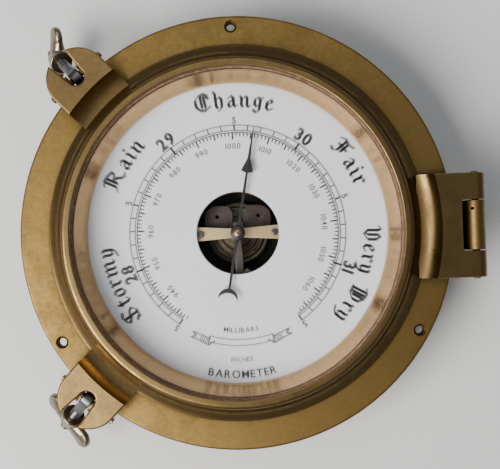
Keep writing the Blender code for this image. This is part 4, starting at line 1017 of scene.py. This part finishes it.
def dial():
    top, under, hole, edge = DIAL_TOP, low("dial_plate").z, 19.45, 0.15
    section = [(hole + edge, top), (DIAL_R - edge, top), (DIAL_R, top - edge), (DIAL_R, under),
               (hole, under), (hole, top - edge)]
    show(turned("face", section), "dial_face", DIAL, "case", ("dial_plate",))
    dial_print()
    cap = [(0.0, HUB_TOP + 0.45), (1.0, HUB_TOP + 0.42), (1.55, HUB_TOP + 0.2), (1.65, HUB_TOP + 0.02),
           (0.0, HUB_TOP + 0.02)]
    show(turned("cap", cap, 64), "hub_cap", COPPER, "hand")
    dot = [(0.0, HUB_TOP + 0.62), (0.32, HUB_TOP + 0.58), (0.42, HUB_TOP + 0.44), (0.0, HUB_TOP + 0.44)]
    show(turned("dot", dot, 32), "hub_point", ENAMEL, "hand")
    hub_low = low("hand_hub").z
    hub = [(0.0, HUB_TOP), (2.6, HUB_TOP), (3.25, HUB_TOP - 0.3), (3.45, HUB_TOP - 0.7),
           (3.45, hub_low), (0.0, hub_low)]
    show(turned("hub", hub, 96), "hand_boss", ENAMEL, "hand", ("hand_hub",))


def capsule():
    """The corrugated vacuum box, with the ripples the dial's hole shows."""
    depth, pitch, reach = 0.35, 3.0, CAPSULE_R - 1.0
    section = []
    for i in range(85):
        radius = reach * i / 84
        section.append((radius, CAPSULE_HIGH - depth
                        + depth * math.cos(math.tau * radius / pitch)))
    section += [(CAPSULE_R - 0.2, CAPSULE_HIGH - 0.7), (CAPSULE_R, CAPSULE_HIGH - 1.0),
                (CAPSULE_R, CAPSULE_LOW + 2.4), (reach, CAPSULE_LOW + 1.6), (3.0, CAPSULE_LOW + 1.6),
                (3.0, CAPSULE_LOW), (0.0, CAPSULE_LOW)]
    show(turned("box", section, 128), "vacuum_box", CAPSULE, "case",
         ("vacuum_capsule",))


# --- kept CAD nodes -----------------------------------------------------------------
def keep_node(name, material):
    """A CAD node that shows as it is, with its own material and softened edges."""
    edge, crease = 0.08 * MM, math.radians(38.0)
    node = NODES[name]
    node.data.materials.clear()
    node.data.materials.append(material)
    node.data.shade_smooth()
    weld = node.modifiers.new("weld", "WELD")
    weld.merge_threshold = 0.001 * MM
    bevel = node.modifiers.new("edges", "BEVEL")
    bevel.width = edge
    bevel.segments = 2
    bevel.limit_method = "ANGLE"
    bevel.angle_limit = crease
    split = node.modifiers.new("creases", "EDGE_SPLIT")
    split.split_angle = crease
    weighted = node.modifiers.new("weighted_normals", "WEIGHTED_NORMAL")
    weighted.keep_sharp = True


def kept_nodes():
    hidden = set()
    for shape in bpy.data.objects:
        hidden.update(shape.get("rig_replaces", []))
    finishes = {"case_brass": CASE, "door_brass": DOOR, "bezel_brass": BEZEL,
                "movement_brass": MOVEMENT, "nut_bronze": BRONZE, "steel": STEEL,
                "capsule_metal": CAPSULE, "hand_black": ENAMEL, "gasket_rubber": GASKET}
    special = {"main_spring": SPRING, "spring_bracket": SHADED, "main_lever": LEVER,
               "movement_plate": SHADED, "frame_screw_1": BRIGHT, "frame_screw_2": BRIGHT,
               "shaft_frame": SHADED, "arbor_bearing_bar": SHADED, "hairspring": STEEL}
    for part in frame["record"]["subparts"]:
        name = part["node"]
        if name not in hidden:
            keep_node(name, special.get(name, finishes[part["material_slot"]]))


# --- stage ---------------------------------------------------------------------------
def floor():
    size = 2000.0
    plane = from_lists("studio_floor", [(-size, -size, 0.0), (size, -size, 0.0),
                                        (size, size, 0.0), (-size, size, 0.0)], [(0, 1, 2, 3)])
    s = Shader("pale_floor", (0.78, 0.78, 0.77), 0.75, 0.0)
    s.colour(s.mix(s.ramp(s.noise(7.0, 5.0, 0.5), 0.3, 0.7), (0.76, 0.76, 0.755), (0.80, 0.80, 0.79)))
    plane.data.materials.append(s.material)


def light(name, azimuth, elevation, distance, size, power, colour):
    """A square softbox that faces the dial's centre; the distance is in metres."""
    data = bpy.data.lights.new(name, "AREA")
    data.shape = "SQUARE"
    data.size = size
    data.energy = power
    data.color = colour
    made = bpy.data.objects.new(name, data)
    bpy.context.scene.collection.objects.link(made)
    a, e = math.radians(azimuth), math.radians(elevation)
    made.location = (distance * math.cos(e) * math.cos(a), distance * math.cos(e) * math.sin(a),
                     distance * math.sin(e) + DIAL_TOP * MM)
    made.rotation_euler = (Vector((0.0, 0.0, DIAL_TOP * MM)) - made.location).to_track_quat(
        "-Z", "Y").to_euler()


def studio():
    floor()
    light("key_softbox", 212.0, 50.0, 0.95, 0.6, 15.0, (1.0, 0.975, 0.94))
    light("fill_softbox", 100.0, 60.0, 1.2, 0.7, 2.5, (0.94, 0.97, 1.0))
    world = bpy.data.worlds.new("studio")
    world.use_nodes = True
    world.node_tree.nodes["Background"].inputs["Color"].default_value = (0.62, 0.64, 0.68, 1.0)
    world.node_tree.nodes["Background"].inputs["Strength"].default_value = 0.30
    bpy.context.scene.world = world
    data = bpy.data.cameras.new("photo_camera")
    data.lens = 65.8
    data.sensor_width = 36.0
    camera = bpy.data.objects.new("photo_camera", data)
    bpy.context.scene.collection.objects.link(camera)
    camera.location = (0.0057, -0.0009, FLANGE_FACE * MM + 0.42)
    camera.rotation_euler = (0.0, 0.0, math.radians(-2.0))
    bpy.context.scene.camera = camera


door()
flange()
drum()
bezel()
for nut_side in EAR_ANGLES:
    swing_bolt(nut_side)
    wing_nut(nut_side)
dial()
capsule()
kept_nodes()
studio()
